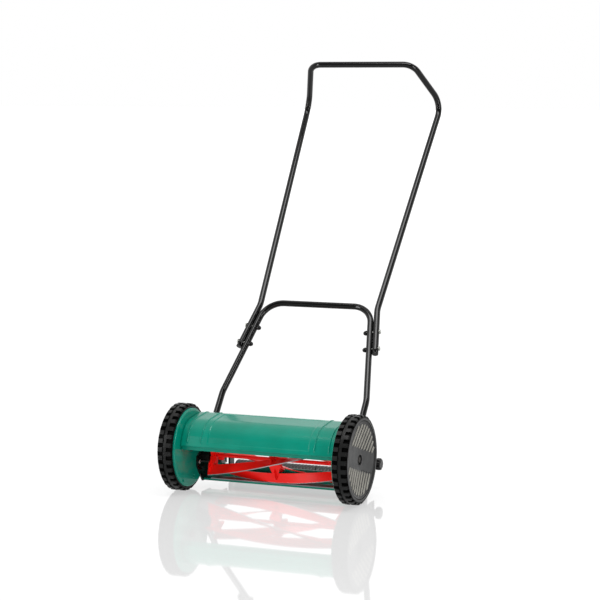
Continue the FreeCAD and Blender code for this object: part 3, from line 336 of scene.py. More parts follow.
def add_node(tree: bpy.types.NodeTree, kind: str, inputs: dict | None = None,
             **settings) -> bpy.types.Node:
    """Adds a shader node, sets its options and fills its inputs.

    Args:
        tree: Node tree to add to.
        kind: Type name of the node.
        inputs: Socket name or number, against a value or the output socket that feeds it.
        settings: Properties of the node itself.

    Returns:
        The new node.
    """
    node = tree.nodes.new(kind)
    for key, setting in settings.items():
        setattr(node, key, setting)
    for key, given in (inputs or {}).items():
        if isinstance(given, bpy.types.NodeSocket):
            tree.links.new(given, node.inputs[key])
        else:
            node.inputs[key].default_value = given
    return node


@dataclass(frozen=True)
class Finish:
    """A real finish: its colour, its sheen and the fine marks that break both up.

    Attributes:
        name: Name of the material.
        colour: Main colour as an sRGB hex code.
        shade: Colour of the faint clouds in it.
        roughness: Roughness where it is cleanest.
        worn: Roughness added in the dullest patches.
        metallic: 0 for paint and plastic, 1 for bare metal.
        coat: Strength of a clear glossy layer on top.
        cloud_mm: Size of the clouds of colour.
        patch_mm: Size of the patches of dullness.
        grain_mm: Size of the fine relief.
        grain_depth_mm: Depth of the fine relief.
        dust: Share of pale dust on faces that look upwards.
        stretch: How much the grain is drawn out along each axis.
        spec: Strength of the plain reflection.
        glow: Light given off by a backlit sheet.
    """

    name: str
    colour: str
    shade: str
    roughness: float
    worn: float
    metallic: float = 0.0
    coat: float = 0.0
    cloud_mm: float = 60.0
    patch_mm: float = 25.0
    grain_mm: float = 1.5
    grain_depth_mm: float = 0.02
    dust: float = 0.0
    stretch: tuple = (1.0, 1.0, 1.0)
    spec: float = 0.5
    glow: float = 0.0

    def build(self) -> bpy.types.Material:
        """Makes the material.

        Returns:
            The finished material.
        """
        made = bpy.data.materials.new(self.name)
        made.use_nodes = True
        tree = made.node_tree
        tree.nodes.clear()
        place = add_node(tree, "ShaderNodeTexCoord").outputs["Object"]
        colour = self.colour_of(tree, place)
        rough = self.roughness_of(tree, place)
        bump = self.relief_of(tree, place)
        shader = add_node(tree, "ShaderNodeBsdfPrincipled", {
            "Base Color": colour,
            "Roughness": rough,
            "Metallic": self.metallic,
            "Normal": bump,
            "Coat Weight": self.coat,
            "Coat Roughness": COAT_ROUGHNESS,
            "Specular IOR Level": self.spec,
            "Emission Color": (1.0, 1.0, 1.0, 1.0),
            "Emission Strength": self.glow,
        })
        self.decorate(tree, shader)
        add_node(tree, "ShaderNodeOutputMaterial", {"Surface": shader.outputs["BSDF"]})
        return made

    def colour_of(self, tree: bpy.types.NodeTree,
                   place: bpy.types.NodeSocket) -> bpy.types.NodeSocket:
        """Main colour with faint clouds, under a little dust on faces that look up.

        Args:
            tree: Node tree of the material.
            place: Socket with the place on the surface.

        Returns:
            Socket with the colour.
        """
        cloud = add_node(tree, "ShaderNodeTexNoise", {
            "Vector": place, "Scale": 1.0 / (self.cloud_mm * MM), "Detail": 4.0})
        share = add_node(tree, "ShaderNodeMapRange", {
            "Value": cloud.outputs["Fac"], "From Min": 0.35, "From Max": 0.7})
        mixed = add_node(tree, "ShaderNodeMix", data_type="RGBA")
        set_mix(mixed, share.outputs["Result"], linear(self.colour), linear(self.shade))
        if self.dust <= 0.0:
            return mixed.outputs[2]
        facing = add_node(tree, "ShaderNodeNewGeometry")
        split = add_node(tree, "ShaderNodeSeparateXYZ", {"Vector": facing.outputs["Normal"]})
        upward = add_node(tree, "ShaderNodeMapRange", {
            "Value": split.outputs["Z"], "From Min": 0.2, "From Max": 1.0, "To Max": self.dust})
        speck = add_node(tree, "ShaderNodeTexNoise", {
            "Vector": place, "Scale": DUST_SCALE, "Detail": 6.0})
        amount = add_node(tree, "ShaderNodeMath", {
            0: upward.outputs["Result"], 1: speck.outputs["Fac"]}, operation="MULTIPLY")
        dusty = add_node(tree, "ShaderNodeMix", data_type="RGBA")
        set_mix(dusty, amount.outputs[0], mixed.outputs[2], linear(DUST_COLOUR))
        return dusty.outputs[2]

    def roughness_of(self, tree: bpy.types.NodeTree,
                      place: bpy.types.NodeSocket) -> bpy.types.NodeSocket:
        """Roughness that wanders between clean and handled patches.

        Args:
            tree: Node tree of the material.
            place: Socket with the place on the surface.

        Returns:
            Socket with the roughness.
        """
        patch = add_node(tree, "ShaderNodeTexNoise", {
            "Vector": place, "Scale": 1.0 / (self.patch_mm * MM), "Detail": 8.0, "Roughness": 0.6})
        rough = add_node(tree, "ShaderNodeMapRange", {
            "Value": patch.outputs["Fac"], "From Min": 0.3, "From Max": 0.75,
            "To Min": self.roughness, "To Max": self.roughness + self.worn})
        return rough.outputs["Result"]

    def relief_of(self, tree: bpy.types.NodeTree,
                  place: bpy.types.NodeSocket) -> bpy.types.NodeSocket:
        """Fine relief of the surface as a bent normal.

        Args:
            tree: Node tree of the material.
            place: Socket with the place on the surface.

        Returns:
            Socket with the normal.
        """
        drawn = add_node(tree, "ShaderNodeMapping", {"Vector": place, "Scale": self.stretch})
        grain = add_node(tree, "ShaderNodeTexNoise", {
            "Vector": drawn.outputs["Vector"], "Scale": 1.0 / (self.grain_mm * MM), "Detail": 3.0})
        bump = add_node(tree, "ShaderNodeBump", {
            "Height": grain.outputs["Fac"], "Strength": 1.0, "Distance": self.grain_depth_mm * MM})
        return bump.outputs["Normal"]

    def decorate(self, tree: bpy.types.NodeTree, shader: bpy.types.Node) -> None:
        """Adds what only this finish has; plain finishes add nothing."""


def set_mix(node: bpy.types.Node, share: object, first: object, second: object) -> None:
    """Fills the factor and the two colour inputs of a colour Mix node.

    Args:
        node: Mix node set to colours.
        share: Socket or value of the factor.
        first: Socket or value of the first colour.
        second: Socket or value of the second colour.
    """
    tree = node.id_data
    for place, given in ((0, share), (6, first), (7, second)):
        if isinstance(given, bpy.types.NodeSocket):
            tree.links.new(given, node.inputs[place])
        else:
            node.inputs[place].default_value = given


@dataclass(frozen=True)
class GroundEdge(Finish):
    """Enamel that has been ground away to bright steel where the edge attribute says so."""

    steel: str = "#a9abad"
    ragged_scale: float = 900.0
    worn_from: float = 1.2
    worn_to: float = 1.32

    def decorate(self, tree: bpy.types.NodeTree, shader: bpy.types.Node) -> None:
        """Mixes in bare ground steel by the attribute called ground.

        Args:
            tree: Node tree of the material.
            shader: Main shader node, already filled.
        """
        ground = add_node(tree, "ShaderNodeAttribute", attribute_name="ground")
        place = add_node(tree, "ShaderNodeTexCoord").outputs["Object"]
        ragged = add_node(tree, "ShaderNodeTexNoise", {
            "Vector": place, "Scale": self.ragged_scale})
        spread = add_node(tree, "ShaderNodeMath", {
            0: ground.outputs["Fac"], 1: ragged.outputs["Fac"]}, operation="ADD")
        bare = add_node(tree, "ShaderNodeMapRange", {
            "Value": spread.outputs[0], "From Min": self.worn_from, "From Max": self.worn_to})
        base = shader.inputs["Base Color"].links[0].from_socket
        mixed = add_node(tree, "ShaderNodeMix", data_type="RGBA")
        set_mix(mixed, bare.outputs["Result"], base, linear(self.steel))
        tree.links.new(mixed.outputs[2], shader.inputs["Base Color"])
        tree.links.new(bare.outputs["Result"], shader.inputs["Metallic"])


@dataclass(frozen=True)
class Rubber(Finish):
    """Rubber with painted shade in the grooves: darkest and dullest there, by the attribute called
    crown.
    """

    # Painted shade in the grooves: their near-black colour and their lowered reflection.
    groove: str = "#020202"
    groove_spec: float = 0.03

    def decorate(self, tree: bpy.types.NodeTree, shader: bpy.types.Node) -> None:
        """Paints shade where the surface lies below the crown of the tread, darkening and dulling
        it there.

        Args:
            tree: Node tree of the material.
            shader: Main shader node, already filled.
        """
        crown = add_node(tree, "ShaderNodeAttribute", attribute_name="crown")
        base = shader.inputs["Base Color"].links[0].from_socket
        mixed = add_node(tree, "ShaderNodeMix", data_type="RGBA")
        set_mix(mixed, crown.outputs["Fac"], linear(self.groove), base)
        tree.links.new(mixed.outputs[2], shader.inputs["Base Color"])
        sheen = add_node(tree, "ShaderNodeMapRange", {
            "Value": crown.outputs["Fac"], "To Min": self.groove_spec, "To Max": self.spec})
        tree.links.new(sheen.outputs["Result"], shader.inputs["Specular IOR Level"])


# Stove enamel: deep gloss with the slight orange peel of sprayed paint.
GREEN_ENAMEL = Finish("stoved_green_enamel", "#007d69", "#007460", 0.15, 0.08, coat=0.12,
                      grain_mm=3.0, grain_depth_mm=0.01, dust=0.01, spec=0.2)
# The same enamel in red, rubbed off along the cutting edge of each blade.
RED_ENAMEL = GroundEdge("red_enamel_ground_edge", "#fb1a12", "#f01510", 0.3, 0.14, coat=0.08,
                        grain_mm=2.5, grain_depth_mm=0.012, spec=0.25)
# Ground tool steel: long fine grinding lines, bluish grey.
KNIFE_STEEL = Finish("ground_tool_steel", "#9da1a4", "#7f8488", 0.28, 0.2, metallic=1.0,
                     grain_mm=0.8, grain_depth_mm=0.02, stretch=(0.05, 1.0, 1.0))
# Zinc plate: pale, slightly clouded metal.
ZINC = Finish("bright_zinc_plate", "#b9bab6", "#a3a49c", 0.26, 0.22, metallic=1.0,
              cloud_mm=9.0, patch_mm=6.0, grain_mm=0.7, grain_depth_mm=0.01)
# Gloss powder coat: near black, with a faint pebble in the reflections.
POWDER_COAT = Finish("gloss_black_powder_coat", "#030303", "#050506", 0.1, 0.06, coat=0.1,
                     grain_mm=2.2, grain_depth_mm=0.008, dust=0.01, spec=0.3)
# Moulded plastic: satin black with a fine spark-eroded texture.
BLACK_PLASTIC = Finish("satin_black_plastic", "#060607", "#0b0b0c", 0.24, 0.12,
                       grain_mm=0.7, grain_depth_mm=0.03, dust=0.02, spec=0.25)
# Wheel moulding: charcoal plastic, duller and greyer than the small fittings.
WHEEL_PLASTIC = Finish("charcoal_wheel_plastic", "#151616", "#101111", 0.3, 0.14,
                       grain_mm=0.6, grain_depth_mm=0.03, dust=0.02, spec=0.2)
# The raised ribs are paler than the rest of the cap.
RIB_PLASTIC = Finish("pale_rib_plastic", "#8d8b83", "#79776f", 0.36, 0.14,
                     grain_mm=0.6, grain_depth_mm=0.03, dust=0.04, spec=0.4)
# Tyre rubber: a low sheen on the lugs, with painted shade making the gaps between them dull and
# darker.
TYRE_RUBBER = Rubber("matt_tyre_rubber_groove_shade", "#050606", "#0a0b0b", 0.3, 0.14,
                     grain_mm=1.1, grain_depth_mm=0.04, dust=0.02, spec=0.24)
# Natural nylon of the gears, ivory with a waxy sheen.
GEAR_NYLON = Finish("waxy_gear_nylon", "#d8d2c0", "#c7bfa9", 0.38, 0.14,
                    grain_mm=1.0, grain_depth_mm=0.02)
# Roller plastic: black, scuffed along its ribs.
ROLLER_PLASTIC = Finish("scuffed_roller_plastic", "#060606", "#0d0d0d", 0.32, 0.2,
                        grain_mm=0.9, grain_depth_mm=0.03, dust=0.03, stretch=(1.0, 0.3, 0.3))
# Axle steel darkened as painted shade for the deep hub holes: dark, dull and slightly brown.
SHADED_AXLE_STEEL = Finish("axle_steel_painted_shade", "#35322f", "#282623", 0.42, 0.2, metallic=1.0,
                     cloud_mm=8.0, patch_mm=5.0, grain_mm=0.7, grain_depth_mm=0.015)

# Backlit white acrylic: an even white sheet with a clear, faint reflection.
FLOOR_ACRYLIC = Finish("white_acrylic_floor", "#8c8c8c", "#888888", 0.03, 0.02,
                       cloud_mm=900.0, patch_mm=600.0, grain_mm=400.0, grain_depth_mm=0.0,
                       spec=0.5, glow=0.5)

SLOT_FINISH = {
    "green_enamel": GREEN_ENAMEL,
    "red_enamel": RED_ENAMEL,
    "knife_steel": KNIFE_STEEL,
    "zinc_steel": ZINC,
    "black_powder_coat": POWDER_COAT,
    "black_plastic": BLACK_PLASTIC,
    "wheel_plastic": WHEEL_PLASTIC,
    "tyre_rubber": TYRE_RUBBER,
    "gear_nylon": GEAR_NYLON,
    "roller_plastic": ROLLER_PLASTIC,
}


class Paintbox:
    """Builds each finish once and lays it on pieces."""

    def __init__(self) -> None:
        """Starts with no material built."""
        self.built: dict = {}

    def coat(self, piece: bpy.types.Object, finish: Finish) -> None:
        """Gives a piece one finish all over.

        Args:
            piece: Object to paint.
            finish: Finish to lay on it.
        """
        if finish.name not in self.built:
            self.built[finish.name] = finish.build()
        piece.data.materials.clear()
        piece.data.materials.append(self.built[finish.name])


PAINT = Paintbox()


def place_piece(piece: bpy.types.Object, body: str, slot: str, *nodes: str,
                finish: Finish | None = None) -> bpy.types.Object:
    """Paints a finished piece, hangs it on its body and hides the CAD nodes it stands for.

    Args:
        piece: Object in place in the frame.
        body: CAD body that it moves with.
        slot: Material slot of the record.
        nodes: CAD nodes that it replaces.
        finish: Finish, if it isn't the slot's own.

    Returns:
        The same object.
    """
    PAINT.coat(piece, finish or SLOT_FINISH[slot])
    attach(piece, body)
    if nodes:
        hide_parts(*nodes)
    return piece


def dress_node(node: str, body: str, slot: str, edge_mm: float = 0.35,
               finish: Finish | None = None) -> bpy.types.Object:
    """Copies a CAD node, joins its loose triangles and softens its edges.

    Args:
        node: CAD node to stand in for.
        body: Body that it moves with.
        slot: Material slot of the record.
        edge_mm: Width of the softened edges, 0 to leave them sharp.
        finish: Finish, if it isn't the slot's own.

    Returns:
        The dressed copy.
    """
    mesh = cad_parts[node].data.copy()
    mesh.name = node + "_dressed"
    shape = bmesh.new()
    shape.from_mesh(mesh)
    bmesh.ops.remove_doubles(shape, verts=shape.verts, dist=WELD_GAP)
    bmesh.ops.dissolve_limit(shape, angle_limit=math.radians(FLAT_DEGREES), verts=shape.verts,
                             edges=shape.edges)
    shape.to_mesh(mesh)
    shape.free()
    for layer in list(mesh.attributes):
        if layer.name == "custom_normal":
            mesh.attributes.remove(layer)
    made = finish_mesh(node + "_dressed", mesh, NODE_CREASE)
    if edge_mm > 0.0:
        bevel = made.modifiers.new("soft_edges", "BEVEL")
        bevel.width = edge_mm * MM
        bevel.segments = 2
        bevel.limit_method = "ANGLE"
        bevel.angle_limit = math.radians(BEVEL_DEGREES)
        bevel.use_clamp_overlap = True
    return place_piece(made, body, slot, node, finish=finish)


# ------------------------------------------------------------------ wheels


@dataclass(frozen=True)
class Wheel:
    """One drive wheel: rubber tyre, moulded wheel with its ring gear, and a ribbed cap.

    Attributes:
        side: Which side it is on.
        lugs: Number of lugs in each of the two rows.
        lug_share: Share of the pitch that a lug takes.
        lug_height: Height of a lug above the tread.
        shoulder: Width of the sloping shoulder of a lug.
        belt_half: Half the width of the belt between the rows.
        belt_share: Height of the belt as a share of the lug height.
        sidewall: Distance from the tyre's side to the foot of a shoulder.
        shoulder_rise: Shares of the lug height from the sidewall to the belt.
        chamfer: Size of the softened edge of a lug.
        band: Thickness of the rubber under the lugs.
        rib_pitch: Distance between the ribs of the cap.
        rib_width: Width of a rib.
        rib_height: Height of a rib.
        band_half: Half the height of the plain band across the cap.
        band_tilt: Tilt of that band in degrees.
        upper_lean: Lean of the ribs above the band, in degrees.
        lower_lean: Lean of the ribs below it.
        rib_margin: Distance from the ends of the ribs to the rim.
        cap_wall: Thickness of the cap.
        hub_hole: Radius of the hole in the middle of the cap.
        pip_pitch: Distance between the stubs along the band.
        pip_radius: Radius of a stub.
        pip_drop: Distance from the stubs to the edge of the band.
        shortest_rib: Shortest rib that is made.
        rib_sink: How far the foot of a rib sinks into the face.
    """

    side: Side
    lugs: int = 32
    lug_share: float = 0.56
    lug_height: float = 6.0 * MM
    shoulder: float = 4.2 * MM
    belt_half: float = 4.0 * MM
    belt_share: float = 0.5
    sidewall: float = 0.8 * MM
    shoulder_rise: tuple = (0.0, 0.22, 0.94, 1.0)
    chamfer: float = 0.8 * MM
    band: float = 2.2 * MM
    rib_pitch: float = 15.6 * MM
    rib_width: float = 6.8 * MM
    rib_height: float = 2.6 * MM
    band_half: float = 26.0 * MM
    band_tilt: float = -16.5
    upper_lean: float = 42.0
    lower_lean: float = 56.0
    rib_margin: float = 7.0 * MM
    cap_wall: float = 2.5 * MM
    hub_hole: float = 12.5 * MM
    pip_pitch: float = 10.5 * MM
    pip_radius: float = 2.0 * MM
    pip_drop: float = 1.5 * MM
    shortest_rib: float = 12.0 * MM
    rib_sink: float = 0.15 * MM

    def node(self, name: str) -> str:
        """Full name of a CAD node on this wheel's side."""
        return f"{self.side.word}_{name}"

    @property
    def body(self) -> str:
        """Name of the CAD body of this wheel."""
        return self.node("wheel_unit")

    def centre(self) -> tuple:
        """Y and Z of the wheel's axis."""
        return centre_of(self.node("wheel"))

    def build(self) -> None:
        """Builds and dresses every piece of the wheel."""
        self.build_tyre()
        self.build_cap()
        self.build_ribs()
        self.build_pips()
        dress_node(self.node("wheel"), self.body, "wheel_plastic", 0.5)
        dress_node(self.node("ring_gear"), self.body, "gear_nylon", 0.0)
        dress_node(self.node("wheel_bush"), self.body, "gear_nylon", 0.2)

    def build_tyre(self) -> None:
        """Tyre as one band of rings whose radius rises over each lug.

        The radius at angle a and distance x is the root radius plus the lug height times w(a)
        times s(x). w ramps from 0 to 1 over the chamfer on each side of a lug, s climbs the
        shoulder, and the belt in the middle has the same height at every angle. The outer row is
        half a pitch round from the inner one.
        """
        inner, outer = reach_of(self.node("tyre"))
        centre = self.centre()
        crown = radius_of(self.node("tyre"))
        root = crown - self.lug_height
        bore = root - self.band
        pitch = TURN / self.lugs
        half = self.lug_share * pitch / 2.0
        soft = self.chamfer / crown
        marks = np.array([-half, -half + soft, half - soft, half])
        marks = np.concatenate([marks, marks + pitch / 2.0, [0.0, pitch / 2.0]]) % pitch
        marks = np.unique(np.round(marks, 9))
        angle = (np.arange(self.lugs)[:, None] * pitch + marks[None]).reshape(-1)
        middle = (inner + outer) / 2.0
        lug_end = middle - inner - self.belt_half - self.chamfer
        half_row = np.array([self.sidewall, self.shoulder, lug_end])
        across = np.concatenate([[inner, inner], inner + half_row,
                                 [middle - self.belt_half, middle + self.belt_half],
                                 (outer - half_row)[::-1], [outer, outer]])
        lift = np.full((len(angle), len(across)), self.belt_share)
        for columns, shift in ((slice(1, 5), 0.0), (slice(-2, -6, -1), pitch / 2.0)):
            away = np.abs((angle - shift + pitch / 2.0) % pitch - pitch / 2.0)
            wall = 1.0 - np.clip((away - half + soft) / soft, 0.0, 1.0)
            lift[:, columns] = wall[:, None] * np.array(self.shoulder_rise)
        radius = root + self.lug_height * lift
        radius[:, [0, -1]] = bore
        points = round_axis(self.side.value * across, radius, angle[:, None], centre)
        faces = ring_faces(len(angle), len(across), True, True).tolist()
        tyre = build_mesh(self.node("tyre_tread"), points, faces, 28.0)
        places = np.zeros(len(tyre.data.vertices) * 3)
        tyre.data.vertices.foreach_get("co", places)
        places = places.reshape(-1, 3)
        away = np.hypot(places[:, 1] - centre[0], places[:, 2] - centre[1])
        # Crown mask: 0 in the grooves, where the tyre finish paints shade, 1 on the lugs.
        mark_points(tyre, "crown", smooth_step(away, root, root + 0.6 * self.lug_height))
        place_piece(tyre, self.body, "tyre_rubber", self.node("tyre"))

    def face_depth(self, radius: np.ndarray) -> np.ndarray:
        """Distance from the middle of the mower of the cap's dished face at a radius."""
        inner, outer = reach_of(self.node("wheel_cap"))
        rim = radius_of(self.node("wheel_cap"))
        dish = outer - inner - self.cap_wall
        return outer - 1.0 * MM - dish * np.clip(1.0 - radius / rim, 0.0, 1.0)

    def build_cap(self) -> None:
        """Dished cap with a rolled rim and a rolled hub hole, turned about the axle."""
        inner, outer = reach_of(self.node("wheel_cap"))
        rim = radius_of(self.node("wheel_cap"))
        hole = self.hub_hole
        radii = np.linspace(hole + 3.0 * MM, rim - 5.0 * MM, 22)
        face = np.stack([self.face_depth(radii), radii], axis=-1)
        lip = np.array([
            [outer - 0.4 * MM, rim - 3.6 * MM], [outer, rim - 2.4 * MM],
            [outer, rim - 0.8 * MM], [outer - 0.8 * MM, rim], [outer - 3.5 * MM, rim],
            [outer - 3.5 * MM, rim - 3.0 * MM],
        ])
        back = np.stack([self.face_depth(radii[::-1]) - self.cap_wall, radii[::-1]], axis=-1)
        depth = float(self.face_depth(np.array([hole]))[0])
        hub = np.array([
            [inner, hole + 1.5 * MM], [inner, hole], [depth - 1.2 * MM, hole],
            [depth - 0.2 * MM, hole + 0.6 * MM], [depth + 0.5 * MM, hole + 1.8 * MM],
        ])
        profile = np.concatenate([face, lip, back, hub])
        cap = revolve(self.node("cap_dish"), profile, self.centre(), self.side.value, 128, 30.0)
        place_piece(cap, self.body, "wheel_plastic", self.node("wheel_cap"))

    def band_axes(self) -> tuple:
        """Direction along the plain band of the cap and the direction square to it."""
        tilt = math.radians(self.band_tilt)
        return (np.array([math.cos(tilt), math.sin(tilt)]),
                np.array([-math.sin(tilt), math.cos(tilt)]))

    def build_ribs(self) -> None:
        """Two fans of parallel ribs, above and below the plain band.

        A rib is a line u * across + v * d that starts on the edge of the band and ends short of
        the rim; its section is a half sine of the rib's width, standing on the dished face.
        """
        reach = radius_of(self.node("wheel_cap")) - self.rib_margin
        _, square = self.band_axes()
        offsets = np.arange(-9, 10) * self.rib_pitch
        end = np.sqrt(np.clip(reach ** 2 - offsets ** 2, 0.0, None))
        run = np.linspace(0.0, 1.0, 14)
        wide = np.linspace(-0.5, 0.5, 9)
        taper = np.minimum(1.0, np.minimum(run, 1.0 - run) * 14.0 + 0.15)
        strips = []
        for lean, upward in ((self.upper_lean, 1.0), (self.lower_lean, -1.0)):
            way = np.array([math.cos(math.radians(lean)), math.sin(math.radians(lean))])
            across = np.array([way[1], -way[0]])
            start = self.band_half - upward * offsets * float(square @ across)
            start = np.maximum(start / float(square @ way), -end)
            kept = end - start > self.shortest_rib
            run_to = start[kept, None] + (end - start)[kept, None] * run
            side = (wide[None, None] * self.rib_width * taper[None, :, None]
                    + offsets[kept, None, None])
            strips.append(upward * run_to[:, :, None, None] * way + side[..., None] * across)
        height = self.rib_height * np.cos(math.pi * wide) * taper[:, None] - self.rib_sink
        self.lay_on_cap("cap_ribs", np.concatenate(strips), height, False, RIB_PLASTIC)

    def lay_on_cap(self, name: str, flat: np.ndarray, height: np.ndarray, closed: bool,
                   finish: Finish) -> None:
        """Builds many small grids of points standing on the cap's face as one piece.

        Args:
            name: Name of the piece.
            flat: Y and Z from the hub, for each grid, row and column.
            height: Height above the face, for each row and column.
            closed: Whether the last column of a grid joins its first.
            finish: Finish of the piece.
        """
        centre = self.centre()
        depth = self.face_depth(np.linalg.norm(flat, axis=-1)) + height
        points = np.stack([self.side.value * depth, centre[0] + flat[..., 0],
                           centre[1] + flat[..., 1]], axis=-1)
        grids, rows, columns = points.shape[:3]
        strip = ring_faces(rows, columns, False, closed)
        starts = np.arange(grids)[:, None, None] * rows * columns
        faces = (starts + strip[None]).reshape(-1, 4).tolist()
        made = build_mesh(self.node(name), points, faces, 60.0)
        face_towards(made, 0, self.side.value)
        place_piece(made, self.body, "wheel_plastic", finish=finish)

    def build_pips(self) -> None:
        """Row of small dark stubs along the lower edge of the plain band."""
        along, square = self.band_axes()
        angle = np.linspace(0.0, TURN, 14, endpoint=False)
        places = np.arange(2, 9) * self.pip_pitch
        rings = np.array([[1.0, 0.0], [1.0, 0.45], [0.7, 0.7], [0.02, 0.8]])
        round_pip = np.stack([np.cos(angle), np.sin(angle)], axis=-1)
        flat = (places[:, None, None, None] * along
                - square * (self.band_half - self.pip_drop)
                + self.pip_radius * rings[None, :, 0, None, None] * round_pip[None, None])
        self.lay_on_cap("cap_pips", flat, rings[:, 1, None] * MM, True, BLACK_PLASTIC)


# ------------------------------------------------------------------ chassis


@dataclass(frozen=True)
class Cover:
    """Bent sheet over the reel with pressed beads and a shallow recessed panel.

    Attributes:
        sheet: Thickness of the sheet.
        rear_drop: Fall of the sheet from the crest to the rear hem.
        hem: Depth of the rear hem.
        crest_y: Y of the highest fold.
        corner: Y and Z of the front bend's corner.
        corner_bend: Radius of the front bend.
        front: Y and Z where the front wall ends.
        lip_step: Step back of the lip.
        lip_fall: Fall of the sheet over that step.
        fold: Radius of the small folds.
        beads: Distances from the middle of the pressed beads, with their heights.
        bead_half: Half width of a bead.
        panel_half: Half width of the recessed panel.
        panel_depth: Depth of the recessed panel.
        panel_edge: Half width of the step round the panel.
        crest_bend: Radius of the bend at the crest.
        fine_half: Half width of the strips with a finer grid, along beads and panel edges.
    """

    sheet: float = 1.5 * MM
    rear_drop: float = 3.5 * MM
    hem: float = 11.0 * MM
    crest_y: float = 50.0 * MM
    corner: tuple = (-46.0 * MM, 190.0 * MM)
    corner_bend: float = 70.0 * MM
    front: tuple = (-70.0 * MM, 130.0 * MM)
    lip_step: float = 5.0 * MM
    lip_fall: float = 2.0 * MM
    fold: float = 3.0 * MM
    beads: tuple = ((157.0 * MM, 2.4 * MM), (196.0 * MM, 2.4 * MM))
    bead_half: float = 2.4 * MM
    panel_half: float = 140.0 * MM
    panel_depth: float = 1.3 * MM
    panel_edge: float = 1.5 * MM
    crest_bend: float = 30.0 * MM
    fine_half: float = 3.2 * MM

    def section(self) -> np.ndarray:
        """Outline of the sheet from the rear hem over the crest to the lip.

        Returns:
            Rows of Y and Z in metres.
        """
        low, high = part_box("reel_cover")
        crest = high.z
        corners = np.array([
            [high.y, crest - self.rear_drop - self.hem],
            [high.y, crest - self.rear_drop],
            [self.crest_y, crest],
            self.corner,
            self.front,
            [self.front[0] + self.lip_step, self.front[1] - self.lip_fall],
            [self.front[0] + self.lip_step + 0.5 * MM, low.z],
        ])
        bends = [0.0, self.fold, self.crest_bend, self.corner_bend, self.fold, self.fold / 2.0, 0.0]
        return spread_along(rounded_line(corners, bends), 1.5 * MM)

    def build(self) -> None:
        """Builds the sheet as a grid of section by width and gives it its thickness.

        Each point moves along the section's normal: out by the height of a bead times the
        squared sine of its distance from the bead's edge, in by the depth of the panel times
        smooth ramps over the panel's edges.
        """
        low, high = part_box("reel_cover")
        line = self.section()
        gaps = np.linalg.norm(np.diff(line, axis=0), axis=1)
        along = np.concatenate([[0.0], np.cumsum(gaps)])
        tangent = np.gradient(line, axis=0)
        tangent /= np.linalg.norm(tangent, axis=1, keepdims=True)
        normal = np.stack([tangent[:, 1], -tangent[:, 0]], axis=-1)
        marks = [place for place, _ in self.beads] + [self.panel_half]
        near = np.linspace(-self.fine_half, self.fine_half, 17)
        fine = [side * place + near for place in marks for side in (-1.0, 1.0)]
        across = np.unique(np.concatenate([np.linspace(low.x, high.x, 90), *fine]))
        away = np.abs(across)
        from_hem = smooth_step(along, 14.0 * MM, 30.0 * MM)
        from_lip = smooth_step(along[-1] - along, 20.0 * MM, 27.0 * MM)
        lift = np.zeros((len(line), len(across)))
        for place, height in self.beads:
            ridge = np.clip(1.0 - np.abs(away - place) / self.bead_half, 0.0, 1.0)
            rise = np.sin(ridge * math.pi / 2.0) ** 2
            lift += height * rise[None] * (from_hem * from_lip)[:, None]
        panel = 1.0 - smooth_step(away, self.panel_half - self.panel_edge,
                                   self.panel_half + self.panel_edge)
        panel_rear = smooth_step(along, 36.0 * MM, 42.0 * MM)
        panel_front = smooth_step(along[-1] - along, 22.0 * MM, 25.0 * MM)
        lift -= self.panel_depth * panel[None] * (panel_rear * panel_front)[:, None]
        sign = 1.0 if normal[len(line) // 2, 1] > 0 else -1.0
        moved = line[:, None] + sign * normal[:, None] * lift[..., None]
        points = np.stack([
            np.broadcast_to(across, lift.shape), moved[..., 0], moved[..., 1]], axis=-1)
        faces = ring_faces(len(line), len(across), False, False).tolist()
        made = build_mesh("pressed_cover", points, faces, 40.0)
        face_towards(made, 2, 1)
        wall = made.modifiers.new("sheet", "SOLIDIFY")
        wall.thickness = self.sheet
        wall.offset = -1.0
        place_piece(made, "chassis", "green_enamel", "reel_cover")


@dataclass(frozen=True)
class SidePlate:
    """Pressed disc with its rolled rim and the eyelets round its hook holes.

    Attributes:
        side: Which side it is on.
        rim_roll: Radius that the rim is rolled to.
        hole: Radius of a hook hole.
        hole_places: Y and Z of the hook holes.
        eyelet_wall: Width of the raised ring round each hook hole.
        eyelet_height: Height of that ring.
    """

    side: Side
    rim_roll: float = 4.0 * MM
    hole: float = 3.2 * MM
    hole_places: tuple = ((13.5 * MM, 35.6 * MM), (-52.5 * MM, 35.6 * MM))
    eyelet_wall: float = 2.4 * MM
    eyelet_height: float = 1.2 * MM

    def build(self) -> None:
        """Dresses the disc, rolls its rim and adds the eyelets."""
        node = f"{self.side.word}_side_plate"
        dress_node(node, "chassis", "green_enamel", 0.4)
        centre = centre_of(node)
        radius = radius_of(node)
        inner, _ = reach_of(node)
        swing = np.linspace(0.0, math.pi / 2.0, 9)
        roll = np.stack([inner + self.rim_roll * (1.0 - np.cos(swing)),
                         radius - self.rim_roll * (1.0 - np.sin(swing))], axis=-1)
        inside = np.array([[inner + self.rim_roll, radius - 0.5 * MM],
                           [inner + 0.5 * MM, radius - self.rim_roll]])
        made = revolve(f"{self.side.word}_rolled_rim", np.concatenate([roll, inside]), centre,
                       self.side.value, 160, 50.0)
        place_piece(made, "chassis", "green_enamel")
        swing = np.linspace(0.0, math.pi, 9)
        ring = np.stack([inner + 0.2 * MM - self.eyelet_height * np.sin(swing),
                         self.hole + self.eyelet_wall / 2.0 * (1.0 + np.cos(swing))], axis=-1)
        for number, place in enumerate(self.hole_places):
            made = revolve(f"{self.side.word}_eyelet_{number + 1}", ring, place,
                           self.side.value, 32, 60.0)
            place_piece(made, "chassis", "green_enamel")


